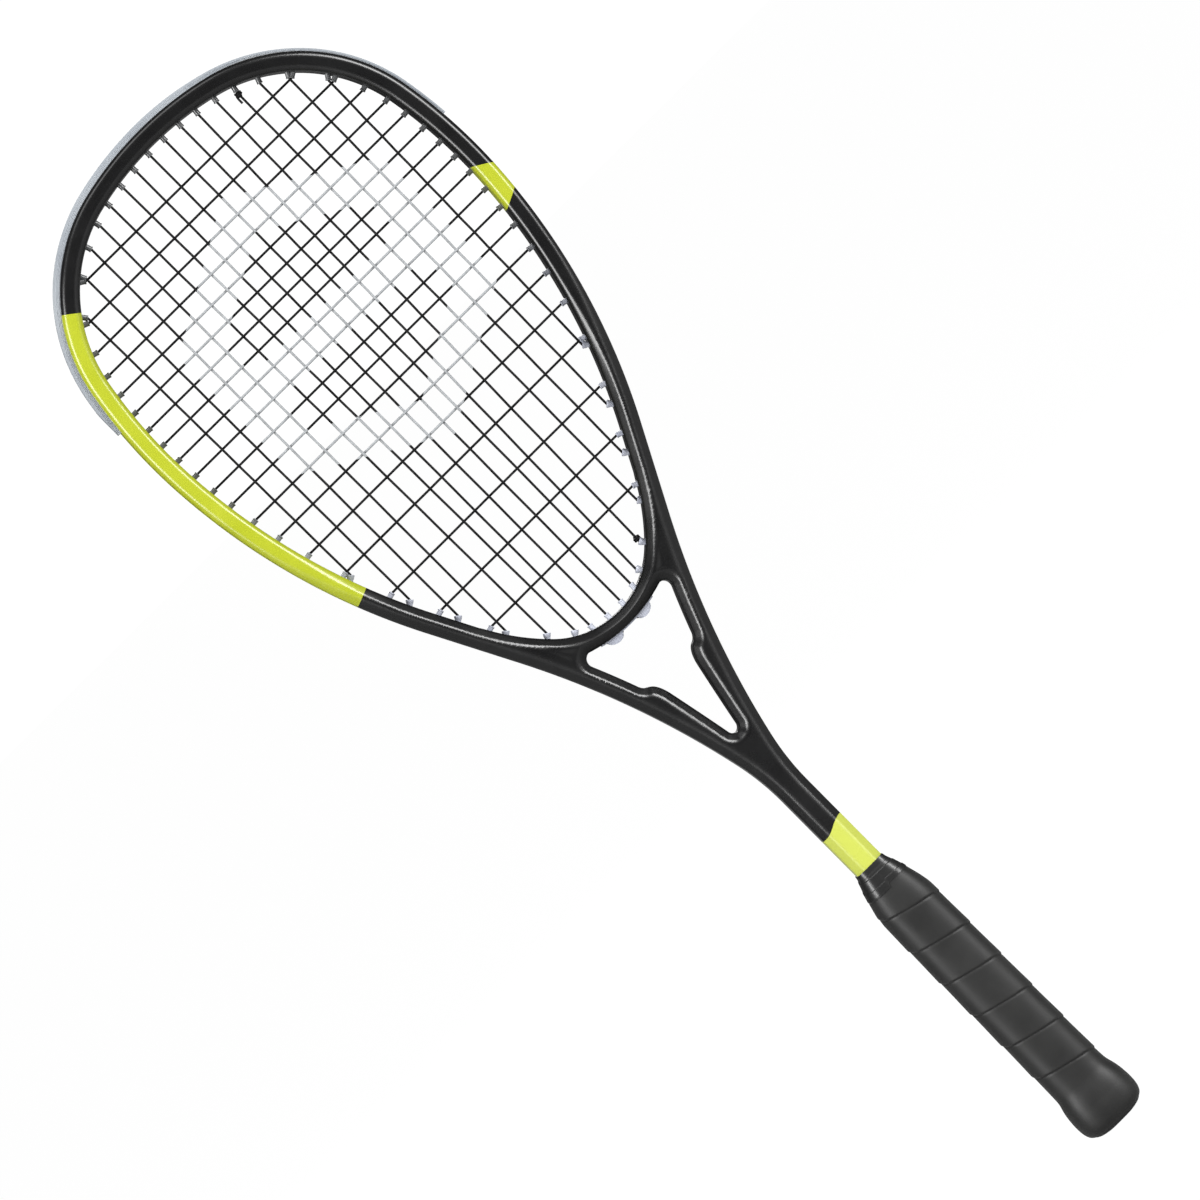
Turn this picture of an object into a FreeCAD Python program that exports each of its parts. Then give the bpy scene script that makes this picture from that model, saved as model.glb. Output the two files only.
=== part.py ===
import FreeCAD, Part
import math
import os
from FreeCAD import Placement, Rotation, Vector

# A squash racket standing on its butt: X runs across the face, Y through it and Z up the handle.
# The origin is the centre of the butt's end face. All sizes are millimetres.
racket_length = 686.0
beam_width = 10.0              # across the beam, in the plane of the face
beam_depth = 19.0              # through the beam
beam_corner = 4.0
wall = 1.0                     # carbon wall of the hollow tube
bumper_rise = 3.2              # how far the bumper stands off the beam
leg_offset = 2.95              # each leg's centre line from the middle of the shaft
centre_web = 0.8               # half of the wall that the two legs share
# The hairpin's centre line, from the top of the head down: arcs of (radius, degrees).
head_arcs = [(172.5, 13.5), (83.5, 66.5), (257.0, 13.5), (334.0, 24.0)]
neck_arcs = [(460.0, 15.0), (136.0, 12.5)]
leg_end = 4.0                  # height of the tube's open lower ends

groove_half = 3.2              # the string groove round the outside of the head
groove_deep = 2.4
strip_half = 2.8
strip_thick = 0.8
barrel_radius = 1.4
barrel_bore = 0.78
barrel_out = 3.0               # how far a barrel stands into the head
barrel_lean = 0.35             # share of the string's direction in a barrel's direction
hole_radius = 1.55
string_radius = 0.62
weave_rise = 1.32              # a cross string's centre line from the mains' at a crossing

# Main strings, from the middle outwards: where each enters the head at the top and at the throat.
main_top = [5.2, 15.5, 25.7, 36.4, 46.8, 57.9, 69.8, 82.8]
main_foot = [4.8, 14.3, 24.5, 35.2, 45.5, 56.8, 68.1, 80.1]
# Cross strings: height of the highest, then the steps down to each of the others.
cross_top = 648.7
cross_steps = [15.5, 13.2, 11.8, 10.9, 11.2, 10.5, 10.2, 10.5, 11.2, 11.4, 11.0, 13.5, 14.1, 16.2,
               18.9, 23.0, 22.8, 23.1]

# The bridge: the inside of the head is an arc and an easing arc, its underside one flat arc.
bridge_foot = 351.2            # lowest point of the head's inside
bridge_arcs = [(46.0, 45.0), (119.0, 17.5)]
bridge_bottom = 343.3          # underside in the middle
bridge_under_radius = 81.0
bridge_half_depth = 7.6
arm_inner = (28.3, 341.0)      # where the opening's rounded upper corner starts on the arm
corner_middle = (27.2, 345.9)
under_end = 24.6               # half-width at which that corner meets the underside
bridge_mains = 2               # mains each side that pass straight through the bridge
arm_exits = {2: 341.0, 3: 354.5}   # heights where the next two come out on the arms' outer sides
arm_exit_shift = 1.5           # how much nearer the middle those two enter the bridge
apex_shoulder = 315.5          # top of the swelling on the arms' inner edges
apex_notch = 268.4             # bottom of the V
apex_half_depth = 8.2
notch_side = (3.2, 3.4)        # half-width of the V's rounded bottom, and its rise
notch_middle = (1.9, 0.9)
shoulder_start = (10.6, 10.0)  # half-width where the shoulder starts, and how far below its top
shoulder_middle = (12.1, 3.6)
shoulder_end = 17.6
apex_reach = 21.5              # half-width that is certain to lie inside the arms
apex_foot = (9.0, 250.0)
bumper_foot = 583.6            # height of the bumper's two ends
strip_foot = 337.0             # height of the side strips' lower ends
groove_beyond = 4.0            # how far the groove runs on below the strips
strip_gap = 0.4                # between the bumper's end and a side strip
throat_strip_half = 17.5       # the strip under the bridge, to either side
tab_centre = 9.8
tab_half = 4.4
tab_drop = 3.6
tab_half_depth = 2.4
tab_channel = 0.9              # radius of the channel for the loop between two strings
bumper_half = 6.0              # half of the bumper's width, through the racket
bumper_round = (1.0, 1.4)      # bevel along the bumper's outer edges: rise and width
bumper_reach = 112.6           # the bumper's ends are shaved to this half-width
channel_half = 1.6             # half of the bumper's string channel
loop_shift = 0.75              # loops of mains and of crosses lie side by side in the groove
knot_start = 0.9               # first turn of a knot above its barrel
knot_pitch = 1.15
knot_tilt = 0.22
knot_slack = 0.1               # between a knot's turns and the string inside them
tail_start = 1.2
tail_length = 6.0
tail_spread = 0.9

# Handle levels, each (height, half across, half through, corner chamfer).
cap_floor = 4.0
pallet_levels = [
    (cap_floor, 14.1, 11.6, 5.0),
    (150.0, 14.1, 11.6, 5.0),
    (156.0, 12.9, 11.4, 4.5),
    (168.0, 9.6, 10.9, 3.0),
]
cap_levels = [
    (0.0, 12.2, 9.7, 4.6),
    (1.6, 14.4, 11.9, 5.0),
    (4.0, 15.2, 12.7, 5.2),
    (8.0, 16.2, 13.7, 5.6),
    (13.0, 16.7, 14.2, 5.8),
    (22.0, 15.4, 12.9, 5.4),
    (28.0, 14.9, 12.4, 5.3),
]
tape_levels = [
    (164.0, 12.7, 13.2, 4.6),
    (169.0, 11.0, 12.1, 3.8),
    (176.4, 8.5, 10.1, 2.6),
]
grip_foot = 3.0
grip_top = 164.0
grip_step = 31.0               # where the grip leaves the cap's skirt for the pallets
grip_thick = 1.9
staple_height = 25.0
staple_half = 4.0
staple_wire = 0.6
staple_reach = 9.6             # how near the staple's points come to the middle


def frame_at(x, z, heading):
    """Placement of a section: its X becomes the outward normal and its Y stays the racket's Y."""
    return Placement(Vector(x, 0, z), Rotation(Vector(0, 1, 0), math.degrees(heading) - 90))


def arc_from(x, z, heading, radius, degrees, turn):
    """An arc of the centre line: turn is 1 where it bends inwards and -1 where it bends out."""
    return {
        "centre": (x - turn * radius * math.sin(heading), z - turn * radius * math.cos(heading)),
        "reach": turn * radius,
        "start": heading,
        "end": heading + turn * math.radians(degrees),
        "length": radius * math.radians(degrees),
    }


def point_on(piece, along):
    """Position and heading at a length along one arc or straight run."""
    if "centre" in piece:
        heading = piece["start"] + along / piece["reach"]
        cx, cz = piece["centre"]
        return cx + piece["reach"] * math.sin(heading), cz + piece["reach"] * math.cos(heading), heading
    x, z = piece["from"]
    heading = piece["start"]
    return x + along * math.cos(heading), z - along * math.sin(heading), heading


def build_centre_line():
    """The right half of the hairpin, from the top of the head to the end of the leg."""
    x, z, heading = 0.0, racket_length - bumper_rise - beam_width / 2, 0.0
    pieces = []
    for radius, degrees in head_arcs:
        pieces.append(arc_from(x, z, heading, radius, degrees, 1))
        x, z, heading = point_on(pieces[-1], pieces[-1]["length"])
    # The straight run is as long as brings the neck's arcs down onto the leg.
    neck_shift, bend = 0.0, heading
    for radius, degrees in neck_arcs:
        after = bend - math.radians(degrees)
        neck_shift += radius * (math.sin(bend) - math.sin(after))
        bend = after
    run = (x + neck_shift - leg_offset) / -math.cos(heading)
    pieces.append({"from": (x, z), "start": heading, "length": run})
    x, z, heading = point_on(pieces[-1], run)
    for radius, degrees in neck_arcs:
        pieces.append(arc_from(x, z, heading, radius, degrees, -1))
        x, z, heading = point_on(pieces[-1], pieces[-1]["length"])
    pieces.append({"from": (x, z), "start": heading, "length": z - leg_end})
    return pieces


centre_line = build_centre_line()
line_length = sum(piece["length"] for piece in centre_line)


def at_length(along):
    for piece in centre_line:
        if along <= piece["length"]:
            return point_on(piece, along)
        along -= piece["length"]
    return point_on(centre_line[-1], centre_line[-1]["length"])


def solve(value, low, high):
    """The length between low and high at which value changes sign."""
    low_sign = value(low) > 0
    for _ in range(60):
        middle = (low + high) / 2
        if (value(middle) > 0) == low_sign:
            low = middle
        else:
            high = middle
    return (low + high) / 2


widest = solve(lambda along: at_length(along)[2] - math.pi / 2, 0.0, line_length * 0.6)


def length_at_height(height):
    return solve(lambda along: at_length(along)[1] - height, 0.0, line_length)


def mirrored(shape):
    return shape.mirror(Vector(0, 0, 0), Vector(1, 0, 0))


def rounded_box(low, high, half, corner):
    """A face from low to high along the normal and half either way through the racket."""
    across, through = high - low, 2 * half
    corner = min(corner, across / 2 - 0.01, through / 2 - 0.01)
    slab = Part.makeBox(across, through, 1.0, Vector(low, -half, 0))
    upright = [e for e in slab.Edges if abs(e.Vertexes[0].Z - e.Vertexes[-1].Z) > 0.5]
    slab = slab.makeFillet(corner, upright)
    return [f for f in slab.Faces if f.CenterOfMass.z < 1e-6][0]


def polygon(points):
    corners = [Vector(u, v, 0) for u, v in points]
    return Part.Face(Part.makePolygon(corners + corners[:1]))


def swept(section, first, last):
    """Sweeps a flat section along the right half of the centre line, between two lengths."""
    solids = []
    passed = 0.0
    for piece in centre_line:
        start = max(first - passed, 0.0)
        stop = min(last - passed, piece["length"])
        passed += piece["length"]
        if stop - start < 1e-6:
            continue
        x, z, heading = point_on(piece, start)
        face = section.copy()
        face.Placement = frame_at(x, z, heading)
        if "centre" in piece:
            cx, cz = piece["centre"]
            turn = math.degrees((stop - start) / piece["reach"])
            solids.append(face.revolve(Vector(cx, 0, cz), Vector(0, 1, 0), turn))
        else:
            reach = stop - start
            solids.append(face.extrude(Vector(math.cos(heading) * reach, 0, -math.sin(heading) * reach)))
    whole = solids[0]
    if len(solids) > 1:
        whole = whole.fuse(solids[1:])
    return whole


def both_halves(half):
    return half.fuse(mirrored(half))


def flat_piece(edges, half_depth):
    """A closed outline in the racket's plane, made as deep as asked."""
    face = Part.Face(Part.Wire(edges))
    face.translate(Vector(0, -half_depth, 0))
    return face.extrude(Vector(0, 2 * half_depth, 0))


def line(a, b):
    return Part.makeLine(Vector(a[0], 0, a[1]), Vector(b[0], 0, b[1]))


def arc(a, b, c):
    return Part.Arc(*[Vector(p[0], 0, p[1]) for p in (a, b, c)]).toShape()


def rod(start, end, radius):
    """A round bar between two points given as vectors."""
    way = end - start
    return Part.makeCylinder(radius, way.Length, start, way)


def in_plane(point, y=0.0):
    return Vector(point[0], y, point[1])


# --- Frame ---------------------------------------------------------------------------------------

half_width = beam_width / 2
groove_end = length_at_height(strip_foot - groove_beyond)
cavity_out = half_width - groove_deep - wall


def hairpin_outside():
    """The outer shape of both halves, without groove or holes."""
    section = rounded_box(-half_width, half_width, beam_depth / 2, beam_corner)
    return both_halves(swept(section, 0.0, line_length))


def hairpin_inside():
    """The hollow: narrower where the string groove is, and split by the legs' shared wall."""
    grooved = rounded_box(-half_width + wall, cavity_out, beam_depth / 2 - wall, beam_corner - wall)
    plain = rounded_box(-half_width + wall, half_width - wall, beam_depth / 2 - wall, beam_corner - wall)
    head = both_halves(swept(grooved, 0.0, groove_end))
    leg = swept(plain, groove_end, line_length)
    keep = Part.makeBox(200, 60, 400, Vector(centre_web, -30, -10))
    leg = leg.common(keep)
    return [head, leg, mirrored(leg)]


def string_groove():
    section = polygon([
        (half_width - groove_deep, -groove_half),
        (half_width + 2.0, -groove_half),
        (half_width + 2.0, groove_half),
        (half_width - groove_deep, groove_half),
    ])
    return both_halves(swept(section, 0.0, groove_end))


# --- String ends ---------------------------------------------------------------------------------

floor = half_width - groove_deep


def beam_end(along, run_x, run_z):
    """Mouth and exit of a barrel through the beam for a string that arrives along (run_x, run_z)."""
    x, z, heading = at_length(along)
    nx, nz = math.sin(heading), math.cos(heading)
    dx = nx * (1 - barrel_lean) + run_x * barrel_lean
    dz = nz * (1 - barrel_lean) + run_z * barrel_lean
    size = math.hypot(dx, dz)
    dx, dz = dx / size, dz / size
    edge = (x - nx * half_width, z - nz * half_width)
    mouth = (edge[0] - dx * barrel_out, edge[1] - dz * barrel_out)
    across = (half_width + floor) / (dx * nx + dz * nz)
    leave = (edge[0] + dx * across, edge[1] + dz * across)
    return mouth, leave


def groove_point(height):
    """The groove's floor beside a height of the centre line."""
    x, z, heading = at_length(length_at_height(height))
    return x + math.sin(heading) * floor, z + math.cos(heading) * floor


def main_top_end(x):
    along = solve(lambda a: beam_end(a, 0, 1)[0][0] - x, 0.0, widest)
    return beam_end(along, 0, 1)


(bridge_radius, bridge_turn), (easing_radius, easing_turn) = bridge_arcs
bridge_turn = math.radians(bridge_turn)
easing_turn = bridge_turn + math.radians(easing_turn)


def bridge_inside(turn):
    """The inside of the head at the bridge, where it has turned this far from level."""
    first = min(turn, bridge_turn)
    x = bridge_radius * math.sin(first)
    z = bridge_foot + bridge_radius * (1 - math.cos(first))
    x += easing_radius * (math.sin(turn) - math.sin(first))
    z += easing_radius * (math.cos(first) - math.cos(turn))
    return x, z


def bridge_inside_at(x):
    return bridge_inside(solve(lambda turn: bridge_inside(turn)[0] - x, 0.0, easing_turn))


def bridge_under(x):
    return bridge_bottom + bridge_under_radius - math.sqrt(bridge_under_radius ** 2 - x ** 2)


def main_foot_end(index):
    x = main_foot[index]
    if index < bridge_mains:
        edge = bridge_inside_at(x)
        return (x, edge[1] + barrel_out), (x, bridge_under(x))
    if index in arm_exits:
        edge = bridge_inside_at(x - arm_exit_shift)
        leave = groove_point(arm_exits[index])
        size = math.hypot(leave[0] - edge[0], leave[1] - edge[1])
        dx, dz = (leave[0] - edge[0]) / size, (leave[1] - edge[1]) / size
        return (edge[0] - dx * barrel_out, edge[1] - dz * barrel_out), leave
    along = solve(lambda a: beam_end(a, 0, -1)[0][0] - x, widest, groove_end)
    return beam_end(along, 0, -1)


def cross_end(height):
    along = solve(lambda a: beam_end(a, 1, 0)[0][1] - height, 0.0, groove_end)
    return beam_end(along, 1, 0)


cross_heights = [cross_top]
for step in cross_steps:
    cross_heights.append(cross_heights[-1] - step)

main_ends = [(main_top_end(main_top[i]), main_foot_end(i)) for i in range(len(main_top))]
cross_ends = [cross_end(height) for height in cross_heights]


def main_x(index, height):
    """Where a main string of the right half crosses a height."""
    (top, _), (foot, _) = main_ends[index]
    share = (height - foot[1]) / (top[1] - foot[1])
    return foot[0] + (top[0] - foot[0]) * share


def flipped(ends):
    """The same string ends on the left half."""
    return [((-mouth[0], mouth[1]), (-leave[0], leave[1])) for mouth, leave in ends]


beam_string_ends = [ends[0] for ends in main_ends]
beam_string_ends += [ends[1] for ends in main_ends[bridge_mains:]]
beam_string_ends += cross_ends
bridge_string_ends = [ends[1] for ends in main_ends[:bridge_mains]]


def drills(ends, radius, before, beyond):
    """Round cutters along the barrels, both halves, from before the mouth to beyond the exit."""
    cutters = []
    for mouth, leave in ends + flipped(ends):
        start, end = in_plane(mouth), in_plane(leave)
        way = (end - start).normalize()
        cutters.append(rod(start - way * before, end + way * beyond, radius))
    return cutters


# --- Throat --------------------------------------------------------------------------------------


def bridge_outline():
    """Right half from the middle of the head's inside round to the middle of the underside."""
    knee = bridge_inside(bridge_turn)
    horn = bridge_inside(easing_turn)
    inside_beam = (horn[0] + 4.0, horn[1] - 2.0)
    in_arm = (arm_inner[0] + 3.5, arm_inner[1])
    corner_end = (under_end, bridge_under(under_end))
    half_under = (under_end / 2, bridge_under(under_end / 2))
    return [
        arc(bridge_inside(0.0), bridge_inside(bridge_turn / 2), knee),
        arc(knee, bridge_inside((bridge_turn + easing_turn) / 2), horn),
        line(horn, inside_beam),
        line(inside_beam, in_arm),
        line(in_arm, arm_inner),
        arc(arm_inner, corner_middle, corner_end),
        arc(corner_end, half_under, (0.0, bridge_bottom)),
    ]


def symmetric_outline(edges):
    return edges + [mirrored(edge) for edge in edges]


def apex_outline():
    """Right half of the filler between the arms, with the swelling on their inner edges."""
    notch_end = (notch_side[0], apex_notch + notch_side[1])
    shoulder = (shoulder_start[0], apex_shoulder - shoulder_start[1])
    return [
        arc((0.0, apex_notch), (notch_middle[0], apex_notch + notch_middle[1]), notch_end),
        line(notch_end, shoulder),
        arc(shoulder, (shoulder_middle[0], apex_shoulder - shoulder_middle[1]), (shoulder_end, apex_shoulder)),
        line((shoulder_end, apex_shoulder), (apex_reach, apex_shoulder)),
        line((apex_reach, apex_shoulder), apex_foot),
        line(apex_foot, (0.0, apex_foot[1])),
    ]


# --- Handle --------------------------------------------------------------------------------------


def octagon(half_across, half_through, chamfer, height):
    a, b, c = half_across, half_through, chamfer
    quarter = [(a, b - c), (a - c, b)]
    points = quarter + [(-x, y) for x, y in reversed(quarter)]
    points += [(-x, -y) for x, y in points]
    corners = [Vector(x, y, height) for x, y in points]
    return Part.makePolygon(corners + corners[:1])


def stacked(levels):
    """A closed solid through octagons at the given levels."""
    wires = [octagon(a, b, chamfer, height) for height, a, b, chamfer in levels]
    whole = Part.makeLoft(wires[:2], True, True)
    for lower, upper in zip(wires[1:], wires[2:]):
        whole = whole.fuse(Part.makeLoft([lower, upper], True, True))
    return whole


def grown(levels, by):
    return [(height, a + by, b + by, chamfer + by * 0.5) for height, a, b, chamfer in levels]


def level_at(levels, height):
    for lower, upper in zip(levels, levels[1:]):
        if lower[0] <= height <= upper[0]:
            share = (height - lower[0]) / (upper[0] - lower[0])
            return (height,) + tuple(p + (q - p) * share for p, q in zip(lower[1:], upper[1:]))
    raise ValueError("height outside the levels")


def levels_between(levels, low, high):
    inner = [level for level in levels if low < level[0] < high]
    return [level_at(levels, low)] + inner + [level_at(levels, high)]


def staples():
    """One staple on each side of the butt cap, its crown outside and its legs in the pallets."""
    crown_face = level_at(cap_levels, staple_height)[1]
    low = staple_height - staple_wire / 2
    crown = Part.makeBox(staple_wire, 2 * staple_half, staple_wire, Vector(crown_face, -staple_half, low))
    for y in (-staple_half, staple_half - staple_wire):
        reach = crown_face - staple_reach
        crown = crown.fuse(Part.makeBox(reach, staple_wire, staple_wire, Vector(staple_reach, y, low)))
    staple = crown.removeSplitter()
    return Part.makeCompound([staple, mirrored(staple)])


def build_handle(outside, pieces):
    pallets = stacked(pallet_levels).cut(outside)
    pins = staples()
    front = Part.makeBox(80, 40, 200, Vector(-40, -40, 0))    # everything before the middle plane
    pallets = pallets.cut(pins)
    pieces["front_pallet"] = pallets.common(front)
    pieces["back_pallet"] = pallets.cut(front)
    inside = stacked(levels_between(pallet_levels, cap_floor, cap_levels[-1][0] + 12.0))
    pieces["butt_cap"] = stacked(cap_levels).cut([inside, pins])
    pieces["butt_cap_staples"] = pins
    grip_levels = levels_between(cap_levels, grip_foot, cap_levels[-1][0])
    grip_levels += levels_between(pallet_levels, grip_step, grip_top)
    grip = stacked(grown(grip_levels, grip_thick)).cut([stacked(grip_levels), pins])
    pieces["base_grip"] = grip
    tape = stacked(tape_levels).cut([stacked(pallet_levels), outside])
    pieces["finishing_tape"] = tape


# --- String protection ---------------------------------------------------------------------------


def length_of(point):
    """How far along the centre line a point of the frame lies."""
    def ahead(along):
        x, z, heading = at_length(along)
        return (point[0] - x) * math.cos(heading) - (point[1] - z) * math.sin(heading)
    return solve(ahead, 0.0, groove_end)


def strip_section():
    return polygon([
        (floor, -strip_half),
        (floor + strip_thick, -strip_half),
        (floor + strip_thick, strip_half),
        (floor, strip_half),
    ])


def bumper_section():
    top = half_width + bumper_rise
    half = [
        (floor, strip_half),
        (half_width, strip_half),
        (half_width, bumper_half),
        (top - bumper_round[0], bumper_half),
        (top, bumper_half - bumper_round[1]),
        (top, channel_half),
        (floor + strip_thick, channel_half),
    ]
    return polygon(half + [(u, -v) for u, v in reversed(half)])


def with_barrels(body, barrels):
    """Adds a tube for each string end of one side, and bores it through the strip."""
    for mouth, leave in barrels:
        start, end = in_plane(mouth), in_plane(leave)
        way = (end - start).normalize()
        body = body.fuse(rod(start, end + way * strip_thick / 2, barrel_radius))
    for mouth, leave in barrels:
        start, end = in_plane(mouth), in_plane(leave)
        way = (end - start).normalize()
        body = body.cut(rod(start - way, end + way * 5.0, barrel_bore))
    return body


def build_protection(bridge, pieces):
    bumper_end = length_at_height(bumper_foot)
    strip_end = length_at_height(strip_foot)
    top = [ends for ends in beam_string_ends if length_of(ends[1]) < bumper_end]
    side = [ends for ends in beam_string_ends if length_of(ends[1]) >= bumper_end]
    bumper = both_halves(swept(bumper_section(), 0.0, bumper_end))
    shave = Part.makeBox(2 * bumper_reach, 40, 200, Vector(-bumper_reach, -20, bumper_foot - 50))
    bumper = bumper.common(shave)
    pieces["head_bumper"] = with_barrels(bumper, top + flipped(top))
    strip = with_barrels(swept(strip_section(), bumper_end + strip_gap, strip_end), side)
    pieces["right_grommet_strip"] = strip
    pieces["left_grommet_strip"] = mirrored(strip)

    strip_edge = [(x, bridge_under(x)) for x in (-throat_strip_half, 0.0, throat_strip_half)]
    lower_edge = [(x, z - strip_thick) for x, z in strip_edge]
    edges = [arc(*strip_edge), line(strip_edge[2], lower_edge[2])]
    edges += [arc(*reversed(lower_edge)), line(lower_edge[0], strip_edge[0])]
    body = flat_piece(edges, strip_half)
    for side_sign in (-1, 1):
        middle = side_sign * tab_centre
        ends = [(middle - tab_half, bridge_under(middle - tab_half)),
                (middle + tab_half, bridge_under(middle + tab_half))]
        low = (middle, bridge_under(middle) - tab_drop)
        tab = flat_piece([arc(ends[0], low, ends[1]), line(ends[1], ends[0])], tab_half_depth)
        body = body.fuse(tab.cut(bridge))
    barrels = bridge_string_ends + flipped(bridge_string_ends)
    body = with_barrels(body, [(m, (l[0], l[1] - strip_thick / 2)) for m, l in barrels])
    for loop in throat_loops(tab_channel):
        body = body.cut(loop)
    pieces["throat_grommet_strip"] = body


# --- Strings -------------------------------------------------------------------------------------


def string_along(points):
    """A string through points given as vectors, with mitred corners."""
    edges = [Part.makeLine(a, b) for a, b in zip(points, points[1:])]
    ring = Part.Wire(Part.makeCircle(string_radius, points[0], points[1] - points[0]))
    return Part.Wire(edges).makePipeShell([ring], True, False, 1)


def lifted(ends):
    """A string end that stops on the strip under the loops."""
    mouth, leave = in_plane(ends[0]), in_plane(ends[1])
    way = (leave - mouth).normalize()
    return mouth, leave + way * strip_thick


def main_run(index):
    top, foot = main_ends[index]
    (top_mouth, top_leave), (foot_mouth, foot_leave) = lifted(top), lifted(foot)
    return string_along([top_leave, top_mouth, foot_mouth, foot_leave])


def crossings(height):
    """The mains' places along a cross string at a height, from left to right."""
    found = []
    for index, (top, foot) in enumerate(main_ends):
        if foot[0][1] < height < top[0][1]:
            x = main_x(index, height)
            found += [(x, index), (-x, -1 - index)]
    return sorted(found)


def cross_run(row):
    mouth, leave = lifted(cross_ends[row])
    points = [Vector(-leave.x, 0, leave.z), Vector(-mouth.x, 0, mouth.z)]
    for x, column in crossings(cross_heights[row]):
        side = 1 if (row + column) % 2 else -1
        points.append(Vector(x, side * weave_rise, cross_heights[row]))
    points += [mouth, leave]
    return string_along(points)


def loop_section(shift):
    height = floor + strip_thick + string_radius
    return Part.Face(Part.Wire(Part.makeCircle(string_radius, Vector(height, shift, 0))))


def outer_loop(first, last, shift):
    """The string in the groove between two string ends of the right half."""
    a, b = sorted([length_of(first[1]), length_of(last[1])])
    return swept(loop_section(shift), a, b)


def throat_loops(radius):
    """The turns under the bridge, between the first and second main of each side."""
    drop = strip_thick + string_radius
    ends = [in_plane((leave[0], leave[1] - drop)) for _, leave in bridge_string_ends]
    turn = rod(ends[0], ends[1], radius)
    return [turn, mirrored(turn)]


def knot(mouth, towards, lean):
    """Two turns of string round the main at a barrel's mouth, and the cut tail beside it."""
    start = in_plane(mouth)
    way = (in_plane(towards) - start).normalize()
    aside = way.cross(Vector(0, 1, 0))
    ring_radius = 2 * string_radius + knot_slack
    body = None
    for turn in (0, 1):
        tilt = Vector(0, knot_tilt * (1 - 2 * turn), 0)
        centre = start + way * (knot_start + knot_pitch * turn)
        ring = Part.makeTorus(ring_radius, string_radius - 0.02, centre, (way + tilt).normalize())
        body = ring if body is None else body.fuse(ring)
    root = start + way * tail_start + aside * (lean * ring_radius) + Vector(0, -0.5, 0)
    tip = root + way * tail_length + aside * lean * tail_spread
    return body.fuse(rod(root, tip, string_radius - 0.04))


def build_strings(pieces):
    right = [main_run(index) for index in range(len(main_ends))]
    pieces["main_strings"] = Part.makeCompound(right + [mirrored(run) for run in right])
    pieces["cross_strings"] = Part.makeCompound([cross_run(row) for row in range(len(cross_ends))])

    tops = [ends[0] for ends in main_ends]
    feet = [ends[1] for ends in main_ends]
    middle = both_halves(swept(loop_section(-loop_shift), 0.0, length_of(tops[0][1])))
    head = [outer_loop(tops[a], tops[a + 1], -loop_shift) for a in (1, 3, 5)]
    tie_off = outer_loop(tops[4], tops[7], loop_shift)
    pieces["head_string_loops"] = Part.makeCompound([middle] + head + [mirrored(h) for h in head] + [tie_off])

    side = [outer_loop(feet[a], feet[a + 1], -loop_shift) for a in (2, 4, 6)]
    rows = range(len(cross_ends) - 1)
    pairs = [outer_loop(cross_ends[row], cross_ends[row + 1], loop_shift) for row in rows]
    last = outer_loop(cross_ends[-1], feet[3], loop_shift)
    pieces["right_string_loops"] = Part.makeCompound(side + pairs[0::2] + [last])
    first = outer_loop(tops[7], cross_ends[0], loop_shift)
    left = side + pairs[1::2] + [first]
    pieces["left_string_loops"] = Part.makeCompound([mirrored(loop) for loop in left])
    pieces["throat_string_loops"] = Part.makeCompound(throat_loops(string_radius))

    top, foot = main_ends[4]
    pieces["top_knot"] = knot(top[0], foot[0], -1)
    top, foot = main_ends[3]
    pieces["throat_knot"] = knot(foot[0], top[0], 1)


def build():
    pieces = {}
    outside = hairpin_outside()
    tube = outside.cut(hairpin_inside() + [string_groove()])
    beam_holes = drills(beam_string_ends, hole_radius, 6.0, 4.0)
    pieces["hairpin_tube"] = tube.cut(beam_holes)

    bridge = flat_piece(symmetric_outline(bridge_outline()), bridge_half_depth)
    bridge_holes = drills(bridge_string_ends, hole_radius, 6.0, 6.0)
    pieces["throat_bridge"] = bridge.cut([outside] + beam_holes + bridge_holes)
    apex = flat_piece(symmetric_outline(apex_outline()), apex_half_depth).cut(outside)
    pieces["throat_apex"] = max(apex.Solids, key=lambda solid: solid.Volume)
    build_handle(outside, pieces)
    build_protection(bridge, pieces)
    build_strings(pieces)
    return pieces


os.makedirs("parts", exist_ok=True)
for name, shape in build().items():
    solids = shape.Solids
    print(name, "solids", len(solids), "valid", shape.isValid(), "volume", round(shape.Volume))
    Part.makeCompound(solids).exportStep("parts/" + name + ".step")
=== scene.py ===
import math
import bmesh
import bpy
from mathutils import Matrix, Vector
from mathutils.kdtree import KDTree


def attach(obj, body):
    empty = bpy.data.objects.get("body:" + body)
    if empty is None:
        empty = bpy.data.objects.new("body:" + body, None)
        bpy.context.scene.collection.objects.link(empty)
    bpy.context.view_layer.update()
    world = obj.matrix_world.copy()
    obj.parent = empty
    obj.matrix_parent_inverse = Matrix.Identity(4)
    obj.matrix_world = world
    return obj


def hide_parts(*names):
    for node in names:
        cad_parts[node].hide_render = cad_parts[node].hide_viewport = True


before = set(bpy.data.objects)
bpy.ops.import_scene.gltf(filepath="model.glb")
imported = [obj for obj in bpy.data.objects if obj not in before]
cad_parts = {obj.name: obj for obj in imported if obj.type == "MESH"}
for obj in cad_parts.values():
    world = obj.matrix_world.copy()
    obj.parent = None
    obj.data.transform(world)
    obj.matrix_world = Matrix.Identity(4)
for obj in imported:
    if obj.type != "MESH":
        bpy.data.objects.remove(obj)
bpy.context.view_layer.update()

print("frame loaded")

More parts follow.
